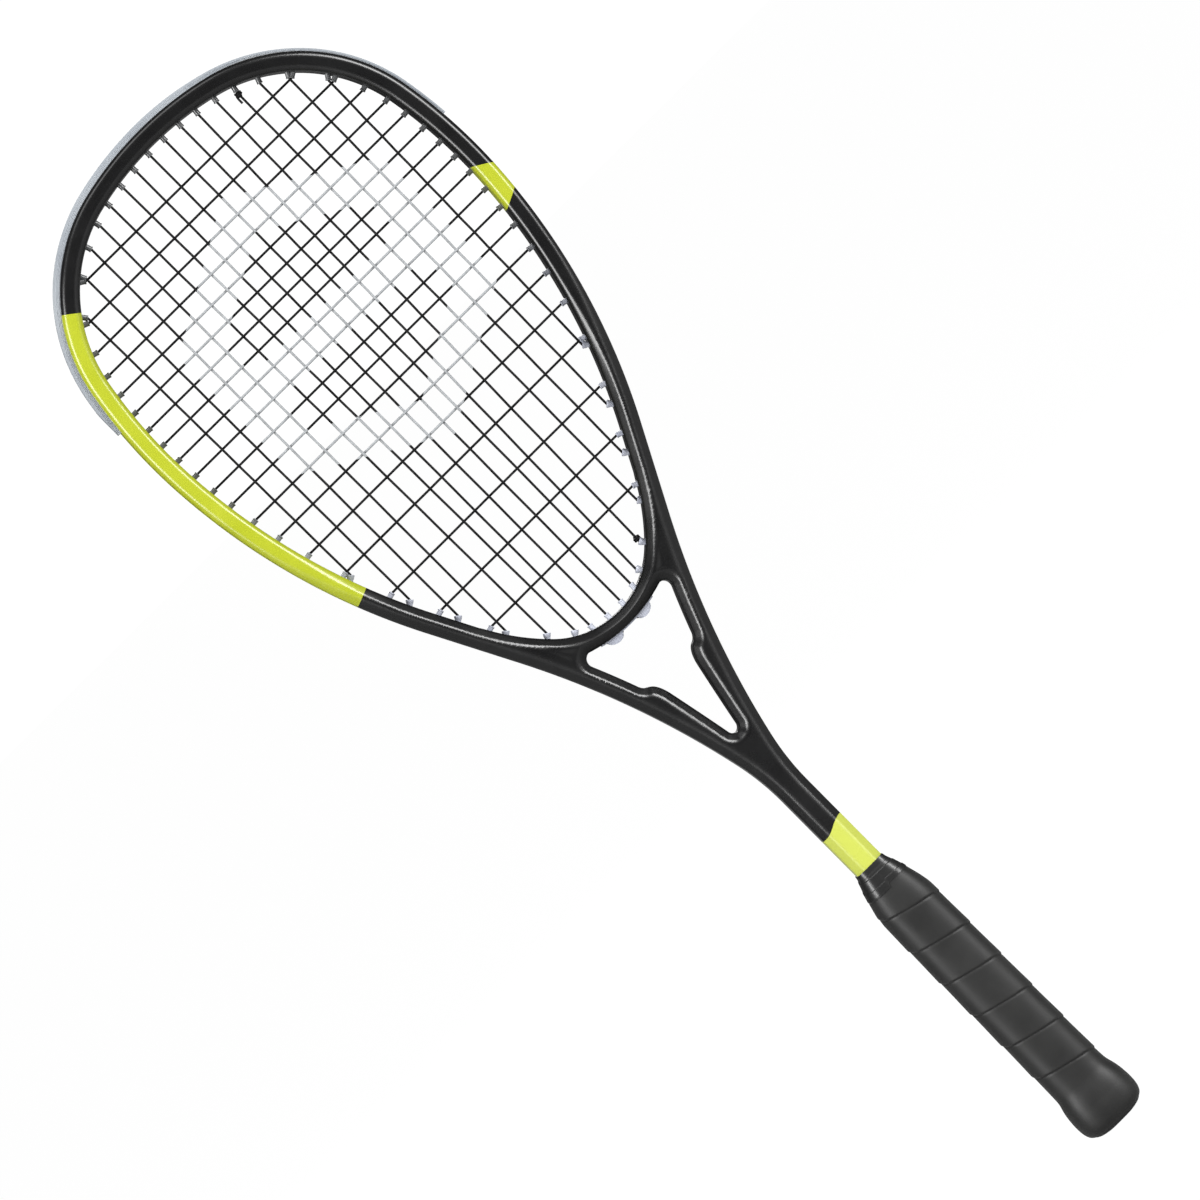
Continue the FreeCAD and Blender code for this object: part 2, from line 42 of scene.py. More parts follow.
# The racket stands on its butt: X across the face, Y through it, Z up. Metres.
hairpin = {
    "length": 0.686,
    "beamWidth": 0.010,
    "beamDepth": 0.019,
    "edgeRound": 0.0034,
    "edgeSteps": 12,
    "bevel": 0.0030,            # straight part of the bevel on the arms and shaft
    "bevelEase": 0.0026,        # over which the bevel turns into the face
    "bevelSlope": 0.88,
    "cell": 0.0012,             # mesh size on the faces of the arms
    "cellFoot": 0.16,
    "cellTop": 0.5,
    "cellSide": 0.1,
    "weld": 0.00001,
    "roll": 0.0004,             # roll of the bevel into the side wall
    "rollReach": 0.0003,
    "edgeKeep": 0.0006,         # so near to the edge the inset is taken from the depth
    "edgeDense": 0.0002,        # spacing of the points that the inset is measured from
    "bevelTop": 0.50,           # heights between which the round edge turns into the bevel
    "bevelFull": 0.42,
    "bumperRise": 0.0032,
    "legOffset": 0.00295,
    "legEnd": 0.004,
    "headArcs": [(0.1725, 13.5), (0.0835, 66.5), (0.257, 13.5), (0.334, 24.0)],
    "neckArcs": [(0.460, 15.0), (0.136, 12.5)],
    "outlineStep": 0.0014,
}


# centre line of the right half of the hairpin, measured from the top of the head
def pointOn(run, along):
    if "centre" in run:
        heading = run["start"] + along / run["reach"]
        x = run["centre"][0] + run["reach"] * math.sin(heading)
        z = run["centre"][1] + run["reach"] * math.cos(heading)
        return x, z, heading
    return (run["from"][0] + along * math.cos(run["start"]),
            run["from"][1] - along * math.sin(run["start"]), run["start"])


def arcRun(x, z, heading, radius, degrees, turn):
    reach = turn * radius
    return {
        "centre": (x - reach * math.sin(heading), z - reach * math.cos(heading)),
        "reach": reach,
        "start": heading,
        "length": radius * math.radians(degrees),
    }


def buildCentreLine():
    x, z, heading = 0.0, hairpin["length"] - hairpin["bumperRise"] - hairpin["beamWidth"] / 2, 0.0
    runs = []
    for radius, degrees in hairpin["headArcs"]:
        runs.append(arcRun(x, z, heading, radius, degrees, 1))
        x, z, heading = pointOn(runs[-1], runs[-1]["length"])
    neckShift, bend = 0.0, heading
    for radius, degrees in hairpin["neckArcs"]:
        after = bend - math.radians(degrees)
        neckShift += radius * (math.sin(bend) - math.sin(after))
        bend = after
    straight = (x + neckShift - hairpin["legOffset"]) / -math.cos(heading)
    runs.append({"from": (x, z), "start": heading, "length": straight})
    x, z, heading = pointOn(runs[-1], straight)
    for radius, degrees in hairpin["neckArcs"]:
        runs.append(arcRun(x, z, heading, radius, degrees, -1))
        x, z, heading = pointOn(runs[-1], runs[-1]["length"])
    runs.append({"from": (x, z), "start": heading, "length": z - hairpin["legEnd"]})
    return runs


centreLine = buildCentreLine()
lineLength = sum(run["length"] for run in centreLine)


def atLength(along):
    for run in centreLine:
        if along <= run["length"]:
            return pointOn(run, along)
        along -= run["length"]
    return pointOn(centreLine[-1], centreLine[-1]["length"])


def solve(value, low, high):
    lowSign = value(low) > 0
    for _ in range(50):
        middle = (low + high) / 2
        if (value(middle) > 0) == lowSign:
            low = middle
        else:
            high = middle
    return (low + high) / 2


def lengthAtHeight(height, offset=0.0):
    return solve(lambda along: offsetPoint(along, offset)[1] - height, 0.0, lineLength)


def offsetPoint(along, offset):
    x, z, heading = atLength(along)
    return x + math.sin(heading) * offset, z + math.cos(heading) * offset


def steps(first, last, step):
    count = max(2, math.ceil(abs(last - first) / step))
    return [first + (last - first) * i / count for i in range(count + 1)]


def smooth(share):
    share = min(1.0, max(0.0, share))
    return share * share * (3 - 2 * share)


def arcThrough(a, b, c, count):
    (ax, ay), (bx, by), (cx, cy) = a, b, c
    d = 2 * (ax * (by - cy) + bx * (cy - ay) + cx * (ay - by))
    aa, bb, cc = ax * ax + ay * ay, bx * bx + by * by, cx * cx + cy * cy
    ux = (aa * (by - cy) + bb * (cy - ay) + cc * (ay - by)) / d
    uy = (aa * (cx - bx) + bb * (ax - cx) + cc * (bx - ax)) / d
    radius = math.hypot(ax - ux, ay - uy)
    angles = [math.atan2(y - uy, x - ux) for x, y in (a, b, c)]
    for i in (1, 2):
        while angles[i] - angles[i - 1] > math.pi:
            angles[i] -= 2 * math.pi
        while angles[i] - angles[i - 1] < -math.pi:
            angles[i] += 2 * math.pi
    turns = steps(angles[0], angles[2], abs(angles[2] - angles[0]) / count)
    return [(ux + radius * math.cos(t), uy + radius * math.sin(t)) for t in turns]


grommets = {
    "grooveHalf": 0.0032,
    "grooveDeep": 0.0024,
    "stripHalf": 0.0028,
    "stripThick": 0.0008,
    "stripFoot": 0.337,
    "stripGap": 0.0004,
    "grooveBeyond": 0.004,
    "cutBeyond": 0.002,
    "barrel": 0.0014,
    "bore": 0.00078,
    "out": 0.0030,
    "lean": 0.35,
    "rim": 0.00155,
    "flare": 0.0020,            # wide mouths of the slanting barrels at the throat
    "sides": 20,
    # from the mouth of a barrel: along, beyond the rim
    "plainRim": [(0.00003, -0.00012), (0.0002, 0.0), (0.0006, 0.0), (0.0008, -0.00015)],
    "flaredRim": [(0.00003, -0.00012), (0.0002, 0.0), (0.0006, -0.00004), (0.0018, -0.00025)],
    "boreEase": 0.0001,
    "bodyFrom": 0.9,
    "beyond": 0.0003,
    "stripEase": 0.0002,
    "stripStep": 0.002,
    "armBack": 0.0015,          # how far nearer the middle a slanting barrel starts on the bridge
}
halfWidth = hairpin["beamWidth"] / 2
grooveFloor = halfWidth - grommets["grooveDeep"]
widest = solve(lambda along: atLength(along)[2] - math.pi / 2, 0.0, lineLength * 0.6)
grooveEnd = lengthAtHeight(grommets["stripFoot"] - grommets["grooveBeyond"])
stripEnd = lengthAtHeight(grommets["stripFoot"])
throat = {
    "inside": 0.3512,           # lowest point of the head's inside
    "arcs": [(0.046, 45.0), (0.119, 17.5)],
    "under": 0.3433,            # underside of the bridge in the middle
    "underRadius": 0.081,
    "underEnd": 0.0246,
    "cornerMiddle": (0.0272, 0.3459),
    "armInner": 0.341,
    "notch": 0.2684,            # bottom of the V
    "notchMiddle": (0.0019, 0.2693),
    "notchSide": (0.0032, 0.2718),
    "armSwell": (0.0063, 0.2878),
    "shoulderStart": (0.0099, 0.3048),
    "shoulderCorner": (0.0118, 0.3132),
    "shoulderTop": (0.0157, 0.3147),
    "shoulderFoot": (0.0184, 0.3159),
    "shoulderBlend": 0.3195,    # where the shoulder has run into the arm
    "turnStep": 0.02,
    "pieces": (8, 24, 14, 12, 10),      # short lines in each curve from the V to the corner
}
(bridgeRadius, bridgeTurn), (easingRadius, easingTurn) = throat["arcs"]
bridgeTurn = math.radians(bridgeTurn)
easingTurn = bridgeTurn + math.radians(easingTurn)


def bridgeInside(turn):
    first = min(turn, bridgeTurn)
    x = bridgeRadius * math.sin(first) + easingRadius * (math.sin(turn) - math.sin(first))
    rise = bridgeRadius * (1 - math.cos(first)) + easingRadius * (math.cos(first) - math.cos(turn))
    return x, throat["inside"] + rise


def bridgeInsideAt(x):
    return bridgeInside(solve(lambda turn: bridgeInside(turn)[0] - x, 0.0, easingTurn))


def bridgeUnder(x):
    return throat["under"] + throat["underRadius"] - math.sqrt(throat["underRadius"] ** 2 - x ** 2)


bed = {
    "radius": 0.00064,
    "lift": 0.00065,            # how far each string leaves the middle plane at a crossing
    "mainTop": [5.2, 15.5, 25.7, 36.4, 46.8, 57.9, 69.8, 82.8],     # millimetres from the middle
    "mainFoot": [4.8, 14.3, 24.5, 35.2, 45.5, 56.8, 68.1, 80.1],
    "crossTop": 648.7,
    "crossSteps": [15.5, 13.2, 11.8, 10.9, 11.2, 10.5, 10.2, 10.5, 11.2, 11.4, 11.0, 13.5, 14.1, 16.2,
                   18.9, 23.0, 22.8, 23.1],
    "armExits": {2: 0.341, 3: 0.3545},
    "bridgeMains": 2,
    "loopShift": 0.00075,
    "loopDip": 0.4,
    "loopStep": 0.004,
    "middleStep": 0.003,
    "crossClear": 0.002,        # a main this close to its barrel meets no cross string
    # steps from point to point along a string, steps in a quarter of its round section
    "runSteps": (6, 3),
    "loopSteps": (4, 2),
    "underSteps": (6, 2),
}


# ends of each string: (mouth of its barrel, exit in the groove)
def beamEnd(along, runX, runZ):
    x, z, heading = atLength(along)
    nx, nz = math.sin(heading), math.cos(heading)
    lean = grommets["lean"]
    way = Vector((nx * (1 - lean) + runX * lean, nz * (1 - lean) + runZ * lean)).normalized()
    edge = (x - nx * halfWidth, z - nz * halfWidth)
    across = (halfWidth + grooveFloor) / (way.x * nx + way.y * nz)
    mouth = (edge[0] - way.x * grommets["out"], edge[1] - way.y * grommets["out"])
    return mouth, (edge[0] + way.x * across, edge[1] + way.y * across)


def mainTopEnd(index):
    x = bed["mainTop"][index] / 1000
    return beamEnd(solve(lambda along: beamEnd(along, 0, 1)[0][0] - x, 0.0, widest), 0, 1)


def mainFootEnd(index):
    x = bed["mainFoot"][index] / 1000
    if index < bed["bridgeMains"]:
        return (x, bridgeInsideAt(x)[1] + grommets["out"]), (x, bridgeUnder(x))
    if index in bed["armExits"]:
        edge = bridgeInsideAt(x - grommets["armBack"])
        leave = offsetPoint(lengthAtHeight(bed["armExits"][index]), grooveFloor)
        way = Vector((leave[0] - edge[0], leave[1] - edge[1])).normalized()
        return (edge[0] - way.x * grommets["out"], edge[1] - way.y * grommets["out"]), leave
    return beamEnd(solve(lambda along: beamEnd(along, 0, -1)[0][0] - x, widest, grooveEnd), 0, -1)


def crossEnd(height):
    return beamEnd(solve(lambda along: beamEnd(along, 1, 0)[0][1] - height, 0.0, grooveEnd), 1, 0)


crossHeights = [bed["crossTop"] / 1000]
for down in bed["crossSteps"]:
    crossHeights.append(crossHeights[-1] - down / 1000)
mainCount = len(bed["mainTop"])
topEnds = [mainTopEnd(index) for index in range(mainCount)]
footEnds = [mainFootEnd(index) for index in range(mainCount)]
crossEnds = [crossEnd(height) for height in crossHeights]


def inPlane(point, y=0.0, side=1):
    return Vector((side * point[0], y, point[1]))


def lengthOf(point):
    def ahead(along):
        x, z, heading = atLength(along)
        return (point[0] - x) * math.cos(heading) - (point[1] - z) * math.sin(heading)
    return solve(ahead, 0.0, grooveEnd)


def newPiece(name, mesh, replaced):
    piece = bpy.data.objects.new(name, mesh)
    bpy.context.scene.collection.objects.link(piece)
    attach(piece, "root")
    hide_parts(*replaced)
    return piece


# angle in degrees above which an edge is shown sharp
creases = {"plate": 35, "frame": 40, "clip": 30, "string": 50, "wrap": 60, "cap": 50}


def finishMesh(name, bm, sharpDegrees):
    bmesh.ops.remove_doubles(bm, verts=bm.verts, dist=0.000002)
    bmesh.ops.recalc_face_normals(bm, faces=bm.faces)
    for face in bm.faces:
        face.smooth = True
    for edge in bm.edges:
        if len(edge.link_faces) == 2:
            edge.smooth = edge.calc_face_angle(0.0) < math.radians(sharpDegrees)
    mesh = bpy.data.meshes.new(name)
    bm.to_mesh(mesh)
    bm.free()
    return mesh


def bridgeRings(bm, rings, loop):
    pairs = list(zip(rings, rings[1:]))
    if loop:
        pairs.append((rings[-1], rings[0]))
    for lower, upper in pairs:
        count = len(lower)
        for i in range(count):
            j = (i + 1) % count
            bm.faces.new((lower[i], lower[j], upper[j], upper[i]))


def sweep(bm, alongs, sectionAt, clampX=None):
    rings = []
    for along in alongs:
        x, z, heading = atLength(abs(along))
        side = -1 if along < 0 else 1
        ring = []
        for out, y in sectionAt(along):
            px = side * (x + math.sin(heading) * out)
            if clampX:
                px = max(-clampX, min(clampX, px))
            ring.append(bm.verts.new((px, y, z + math.cos(heading) * out)))
        rings.append(ring)
    bridgeRings(bm, rings, False)
    bm.faces.new(rings[0])
    bm.faces.new(rings[-1])


def lathe(bm, start, way, profile, sides):
    aside = way.cross(Vector((0, 1, 0))).normalized()
    other = way.cross(aside)
    rings = []
    for along, radius in profile:
        ring = []
        for i in range(sides):
            turn = 2 * math.pi * i / sides
            spoke = aside * math.cos(turn) + other * math.sin(turn)
            ring.append(bm.verts.new(start + way * along + spoke * radius))
        rings.append(ring)
    bridgeRings(bm, rings, True)


def addBarrel(bm, mouth, leave, flared):
    way = leave - mouth
    end = way.length + grommets["beyond"]
    way.normalize()
    rim = grommets["flare" if flared else "rim"]
    rings = grommets["flaredRim" if flared else "plainRim"]
    barrel, bore = grommets["barrel"], grommets["bore"]
    profile = [(0.0, bore + grommets["boreEase"])]
    profile += [(along, rim + beyond) for along, beyond in rings]
    profile += [(grommets["out"] * grommets["bodyFrom"], barrel), (end, barrel), (end, bore)]
    lathe(bm, mouth, way, profile, grommets["sides"])


def tubes(name, runs, radius, resolution, bevel, kind="BEZIER"):
    curve = bpy.data.curves.new(name, "CURVE")
    curve.dimensions = "3D"
    curve.bevel_depth = radius
    curve.bevel_resolution = bevel
    curve.use_fill_caps = True
    curve.resolution_u = resolution
    for points in runs:
        if kind == "BEZIER":
            spline = curve.splines.new("BEZIER")
            spline.bezier_points.add(len(points) - 1)
            for place, point in zip(spline.bezier_points, points):
                place.co = point
                place.handle_left_type = place.handle_right_type = "AUTO"
            for index in (0, 1, -2, -1):        # a string runs straight to its barrel and bends at the mouth
                bent = spline.bezier_points[index]
                bent.handle_left_type = bent.handle_right_type = "VECTOR"
        else:
            spline = curve.splines.new("NURBS")
            spline.points.add(len(points) - 1)
            for place, point in zip(spline.points, points):
                place.co = (*point, 1)
            spline.order_u = 3
            spline.use_endpoint_u = True
    holder = bpy.data.objects.new(name + "Curve", curve)
    bpy.context.scene.collection.objects.link(holder)
    bpy.context.view_layer.update()
    mesh = bpy.data.meshes.new_from_object(holder.evaluated_get(bpy.context.evaluated_depsgraph_get()))
    bpy.data.objects.remove(holder)
    bm = bmesh.new()
    bm.from_mesh(mesh)
    bpy.data.meshes.remove(mesh)
    return finishMesh(name, bm, creases["string"])


def plate(name, outlines, halfDepth, edgeRound, edgeSteps):
    curve = bpy.data.curves.new(name, "CURVE")
    curve.dimensions = "2D"
    curve.fill_mode = "BOTH"
    curve.extrude = halfDepth - edgeRound
    curve.bevel_depth = edgeRound
    curve.bevel_resolution = edgeSteps
    curve.offset = -edgeRound
    for outline in outlines:
        spline = curve.splines.new("POLY")
        spline.points.add(len(outline) - 1)
        for place, (x, z) in zip(spline.points, outline):
            place.co = (x, z, 0, 1)
        spline.use_cyclic_u = True
    holder = bpy.data.objects.new(name + "Curve", curve)
    bpy.context.scene.collection.objects.link(holder)
    bpy.context.view_layer.update()
    mesh = bpy.data.meshes.new_from_object(holder.evaluated_get(bpy.context.evaluated_depsgraph_get()))
    bpy.data.objects.remove(holder)
    mesh.transform(Matrix.Rotation(math.pi / 2, 4, "X"))
    bm = bmesh.new()
    bm.from_mesh(mesh)
    bpy.data.meshes.remove(mesh)
    return bm


def bothSides(rightHalf):
    return rightHalf + [(-x, z) for x, z in reversed(rightHalf) if abs(x) > 1e-7]


def winding(points):
    return sum(a[0] * b[1] - b[0] * a[1] for a, b in zip(points, points[1:] + points[:1]))


def outerOutline():
    right = [offsetPoint(along, halfWidth) for along in steps(0.0, lineLength, hairpin["outlineStep"])]
    return bothSides(right)


def hoopOutline():
    hornHeight = bridgeInside(easingTurn)[1]
    joint = lengthAtHeight(hornHeight, -halfWidth)
    right = [offsetPoint(along, -halfWidth) for along in steps(0.0, joint, hairpin["outlineStep"])]
    bridgeSteps = steps(easingTurn, 0.0, throat["turnStep"])
    right += [bridgeInside(turn) for turn in bridgeSteps[1:]]
    return bothSides(right)


def throatOutline():
    low = lengthAtHeight(throat["shoulderBlend"], -halfWidth)
    high = lengthAtHeight(throat["armInner"], -halfWidth)
    armFoot = offsetPoint(low, -halfWidth)
    armTop = offsetPoint(high, -halfWidth)
    underEnd = (throat["underEnd"], bridgeUnder(throat["underEnd"]))
    notchLines, armLines, shoulderLines, footLines, cornerLines = throat["pieces"]
    start, corner, top = throat["shoulderStart"], throat["shoulderCorner"], throat["shoulderTop"]
    right = arcThrough((0.0, throat["notch"]), throat["notchMiddle"], throat["notchSide"], notchLines)
    right += eased(throat["notchSide"], throat["armSwell"], start, armLines)[1:]
    right += eased(start, corner, top, shoulderLines)[1:]
    right += eased(top, throat["shoulderFoot"], armFoot, footLines)[1:]
    right += [offsetPoint(along, -halfWidth) for along in steps(low, high, hairpin["outlineStep"])][1:]
    right += arcThrough(armTop, throat["cornerMiddle"], underEnd, cornerLines)[1:]
    right += [(x, bridgeUnder(x)) for x in steps(underEnd[0], 0.0, hairpin["outlineStep"])][1:]
    return bothSides(right)


def eased(a, corner, b, count):
    # a curve from a to b that is pulled towards corner
    a, corner, b = Vector(a), Vector(corner), Vector(b)
    return [tuple(a.lerp(corner, t).lerp(corner.lerp(b, t), t)) for t in steps(0.0, 1.0, 1.0 / count)]


def grooveSection(along):
    half, top = grommets["grooveHalf"], halfWidth + grommets["cutBeyond"]
    return [(grooveFloor, -half), (top, -half), (top, half), (grooveFloor, half)]


def cutCells(bm, halfDepth):
    # the flat faces of the arms are cut into cells so that they can be crowned
    bm.normal_update()
    weld, cell, side = hairpin["weld"], hairpin["cell"], hairpin["cellSide"]
    flats = [face for face in bm.faces if abs(face.calc_center_median().y) > halfDepth - weld]
    parts = set(flats)
    for face in flats:
        parts.update(face.edges)
        parts.update(face.verts)
    parts = list(parts)
    cuts = [((0, 0, z), (0, 0, 1)) for z in steps(hairpin["cellFoot"], hairpin["cellTop"], cell)]
    cuts += [((x, 0, 0), (1, 0, 0)) for x in steps(-side, side, cell)]
    for place, way in cuts:
        parts = bmesh.ops.bisect_plane(bm, geom=parts, dist=0.000001, plane_co=place, plane_no=way)["geom"]


web = {
    "corners": [(0.0430, 0.3712), (0.0270, 0.3520), (0.0332, 0.3480)],
    "deep": 0.0004,             # valley between the bridge and each arm
    "slope": 0.0024,
}


def valley(x, z):
    corners = [Vector(corner) for corner in web["corners"]]
    middle = sum(corners, Vector((0, 0))) / 3
    point = Vector((abs(x), z))
    nearest = web["slope"]
    for i in range(3):
        a, b = corners[i - 1], corners[i]
        normal = Vector((b.y - a.y, a.x - b.x)).normalized()
        if normal.dot(middle - a) < 0:
            normal = -normal
        nearest = min(nearest, normal.dot(point - a))
    return web["deep"] * smooth(nearest / web["slope"])


def crownFaces(bm, halfDepth, outlines):
    # the head keeps its round edge; on the arms and shaft it becomes a wide bevel that eases into the face
    edgeRound, bevel, ease = hairpin["edgeRound"], hairpin["bevel"], hairpin["bevelEase"]
    dense = []
    for outline in outlines:
        for a, b in zip(outline, outline[1:] + outline[:1]):
            a, b = Vector((a[0], 0, a[1])), Vector((b[0], 0, b[1]))
            count = max(1, int((b - a).length / hairpin["edgeDense"]))
            dense += [a.lerp(b, i / count) for i in range(count)]
    tree = KDTree(len(dense))
    for index, point in enumerate(dense):
        tree.insert(point, index)
    tree.balance()
    for vert in bm.verts:
        share = (abs(vert.co.y) - halfDepth + edgeRound) / edgeRound
        if share < -0.001:
            continue
        inset = edgeRound * (1 - math.sqrt(max(0.0, 1 - min(share, 1.0) ** 2)))
        if inset > hairpin["edgeKeep"]:
            inset = tree.find((vert.co.x, 0, vert.co.z))[2]
        drop = 0.0
        if inset < bevel:
            drop = ease / 2 + bevel - inset
        elif inset < bevel + ease:
            drop = (bevel + ease - inset) ** 2 / ease / 2
        drop = drop * hairpin["bevelSlope"] + hairpin["roll"] * math.exp(-inset / hairpin["rollReach"])
        drop += valley(vert.co.x, vert.co.z)
        blend = smooth((hairpin["bevelTop"] - vert.co.z) / (hairpin["bevelTop"] - hairpin["bevelFull"]))
        depth = abs(vert.co.y) * (1 - blend) + (halfDepth - drop) * blend
        vert.co.y = math.copysign(depth, vert.co.y)


def buildFrame(material):
    outlines = [outerOutline(), hoopOutline(), throatOutline()]
    for index, outline in enumerate(outlines):
        wantPositive = index == 0
        if (winding(outline) > 0) != wantPositive:
            outline.reverse()
    halfDepth = hairpin["beamDepth"] / 2
    bm = plate("frame", outlines, halfDepth, hairpin["edgeRound"], hairpin["edgeSteps"])
    bmesh.ops.remove_doubles(bm, verts=bm.verts, dist=hairpin["weld"])
    cutCells(bm, halfDepth)
    crownFaces(bm, halfDepth, outlines)
    mesh = finishMesh("racketFrame", bm, creases["plate"])
    piece = newPiece("racketFrame", mesh, ["hairpin_tube", "throat_bridge", "throat_apex"])
    cutter = bmesh.new()
    grooveSteps = steps(-grooveEnd, grooveEnd, hairpin["outlineStep"])
    sweep(cutter, grooveSteps, grooveSection)
    bmesh.ops.recalc_face_normals(cutter, faces=cutter.faces)
    cutMesh = bpy.data.meshes.new("cutter")
    cutter.to_mesh(cutMesh)
    cutter.free()
    tool = bpy.data.objects.new("cutter", cutMesh)
    bpy.context.scene.collection.objects.link(tool)
    cut = piece.modifiers.new("stringGroove", "BOOLEAN")
    cut.operation = "DIFFERENCE"
    cut.solver = "EXACT"
    cut.object = tool
    bpy.context.view_layer.update()
    result = bpy.data.meshes.new_from_object(piece.evaluated_get(bpy.context.evaluated_depsgraph_get()))
    piece.modifiers.clear()
    bpy.data.objects.remove(tool)
    bm = bmesh.new()
    bm.from_mesh(result)
    piece.data = finishMesh("racketFrame", bm, creases["frame"])
    piece.data.materials.append(material)
    weighted = piece.modifiers.new("weightedNormals", "WEIGHTED_NORMAL")
    weighted.keep_sharp = True
    return piece


bumper = {
    "foot": 0.5836,
    "half": 0.0060,
    "channel": 0.0016,
    "reach": 0.1126,
    "ridge": 0.00022,
    "ridges": 3,
    "step": 0.0018,
    "thinning": 0.0017,         # how much thinner the right side is
    "thinBy": 0.085,
    "lipDown": 0.0003,
    "lipUp": 0.0002,
    "lipOut": 0.0006,
    "firstRidge": 0.0003,
    "ridgeShare": 0.55,
    "ridgeFoot": 0.0004,
    "ridgeEase": 0.0001,
    "taper": 0.0009,
    "land": 0.0012,             # smooth part above the ridges
    "shoulder": [(0.0005, 0.0010), (0.0, 0.0017)],
    "channelWide": 0.0004,
    "channelEase": 0.0003,
    "clear": 0.00002,
}
bumperEnd = lengthAtHeight(bumper["foot"])


def bumperSection(along):
    thinner = bumper["thinning"] * smooth(along / bumper["thinBy"])
    rise = halfWidth + hairpin["bumperRise"] - thinner
    half, channel, ridge, ease = bumper["half"], bumper["channel"], bumper["ridge"], bumper["ridgeEase"]
    lip, lipHalf, foot = halfWidth - bumper["lipDown"], half + bumper["lipOut"], grommets["stripHalf"]
    side = [(grooveFloor + bumper["clear"], foot), (lip, foot), (lip, lipHalf)]
    side.append((halfWidth + bumper["lipUp"], lipHalf))
    count = bumper["ridges"]
    ridged = rise - bumper["land"] - halfWidth
    for i in range(count):
        low = halfWidth + bumper["firstRidge"] + ridged * i / count
        high = halfWidth + bumper["firstRidge"] + ridged * (i + bumper["ridgeShare"]) / count
        outer = half + bumper["ridgeFoot"] - bumper["taper"] * i / count
        side += [(low, outer - ridge), (low + ease, outer), (high, outer), (high + ease, outer - ridge)]
    side += [(rise - down, half - inwards) for down, inwards in bumper["shoulder"]]
    side += [(rise, channel + bumper["channelWide"]), (rise - bumper["channelEase"], channel)]
    side.append((grooveFloor + grommets["stripThick"], channel))
    return side + [(out, -y) for out, y in reversed(side)]


def stripSection(along):
    half, top = grommets["stripHalf"], grooveFloor + grommets["stripThick"]
    ease = grommets["stripEase"]
    side = [(top, half - ease), (top - ease, half), (grooveFloor, half)]
    return [(out, -y) for out, y in reversed(side)] + side


def isTop(ends):
    return lengthOf(ends[1]) < bumperEnd


def buildBumper(material, barrelMaterial):
    bm = bmesh.new()
    sweep(bm, steps(-bumperEnd, bumperEnd, bumper["step"]), bumperSection, bumper["reach"])
    shell = len(bm.faces)
    for ends in topEnds + crossEnds:
        if isTop(ends):
            for side in (-1, 1):
                addBarrel(bm, inPlane(ends[0], 0, side), inPlane(ends[1], 0, side), False)
    for index, face in enumerate(bm.faces):
        face.material_index = 1 if index >= shell else 0
    mesh = finishMesh("headBumper", bm, creases["clip"])
    piece = newPiece("headBumper", mesh, ["head_bumper"])
    piece.data.materials.append(material)
    piece.data.materials.append(barrelMaterial)


def buildSideStrip(name, side, node, material):
    bm = bmesh.new()
    first, last = side * (bumperEnd + grommets["stripGap"]), side * stripEnd
    sweep(bm, steps(first, last, grommets["stripStep"]), stripSection)
    for ends in topEnds + crossEnds:
        if not isTop(ends):
            addBarrel(bm, inPlane(ends[0], 0, side), inPlane(ends[1], 0, side), False)
    for ends in footEnds[bed["bridgeMains"]:]:
        addBarrel(bm, inPlane(ends[0], 0, side), inPlane(ends[1], 0, side), True)
    piece = newPiece(name, finishMesh(name, bm, creases["clip"]), [node])
    piece.data.materials.append(material)


throatStrip = {
    "half": 0.0175,
    "thick": 0.0008,
    "through": 0.0028,
    "step": 0.0012,
    "tabCentre": 0.0098,
    "tabHalf": 0.0046,
    "tabDrop": 0.0030,
    "tabFoot": 0.0001,
    "tabThrough": 0.0024,
    "tabTaper": 0.7,
    "tabStep": 0.05,
    "ribs": 9,
    "ribDepth": 0.03,
}


def buildThroatStrip(material):
    bm = bmesh.new()
    through, thick = throatStrip["through"], throatStrip["thick"]
    rings = []
    for x in steps(-throatStrip["half"], throatStrip["half"], throatStrip["step"]):
        z = bridgeUnder(x)
        corners = ((-through, z), (through, z), (through, z - thick), (-through, z - thick))
        rings.append([bm.verts.new((x, y, height)) for y, height in corners])
    bridgeRings(bm, rings, False)
    bm.faces.new(rings[0])
    bm.faces.new(rings[-1])
    for side in (-1, 1):
        rings = []
        for share in steps(-1.0, 1.0, throatStrip["tabStep"]):
            x = side * throatStrip["tabCentre"] + share * throatStrip["tabHalf"]
            drop = throatStrip["tabDrop"] * math.sqrt(max(0.0, 1 - share * share)) + throatStrip["tabFoot"]
            rib = 1 + throatStrip["ribDepth"] * math.cos(share * math.pi * throatStrip["ribs"])
            y = throatStrip["tabThrough"] * rib
            narrow = y * throatStrip["tabTaper"]
            z = bridgeUnder(x) - thick
            low = z - drop
            middle = (z + low) / 2
            corners = ((-y, z), (y, z), (y, middle), (narrow, low), (-narrow, low), (-y, middle))
            rings.append([bm.verts.new((x, across, height)) for across, height in corners])
        bridgeRings(bm, rings, False)
        bm.faces.new(rings[0])
        bm.faces.new(rings[-1])
    for ends in footEnds[:bed["bridgeMains"]]:
        for side in (-1, 1):
            addBarrel(bm, inPlane(ends[0], 0, side), inPlane(ends[1], 0, side), False)
    mesh = finishMesh("throatStrip", bm, creases["clip"])
    piece = newPiece("throatStrip", mesh, ["throat_grommet_strip"])
    piece.data.materials.append(material)


def mainX(index, height):
    top, foot = topEnds[index][0], footEnds[index][0]
    return foot[0] + (top[0] - foot[0]) * (height - foot[1]) / (top[1] - foot[1])


def weaveSide(row, column):
    return 1 if (row + column) % 2 else -1


def lifted(ends, side):
    mouth, leave = inPlane(ends[0], 0, side), inPlane(ends[1], 0, side)
    return mouth, leave + (leave - mouth).normalized() * grommets["stripThick"]


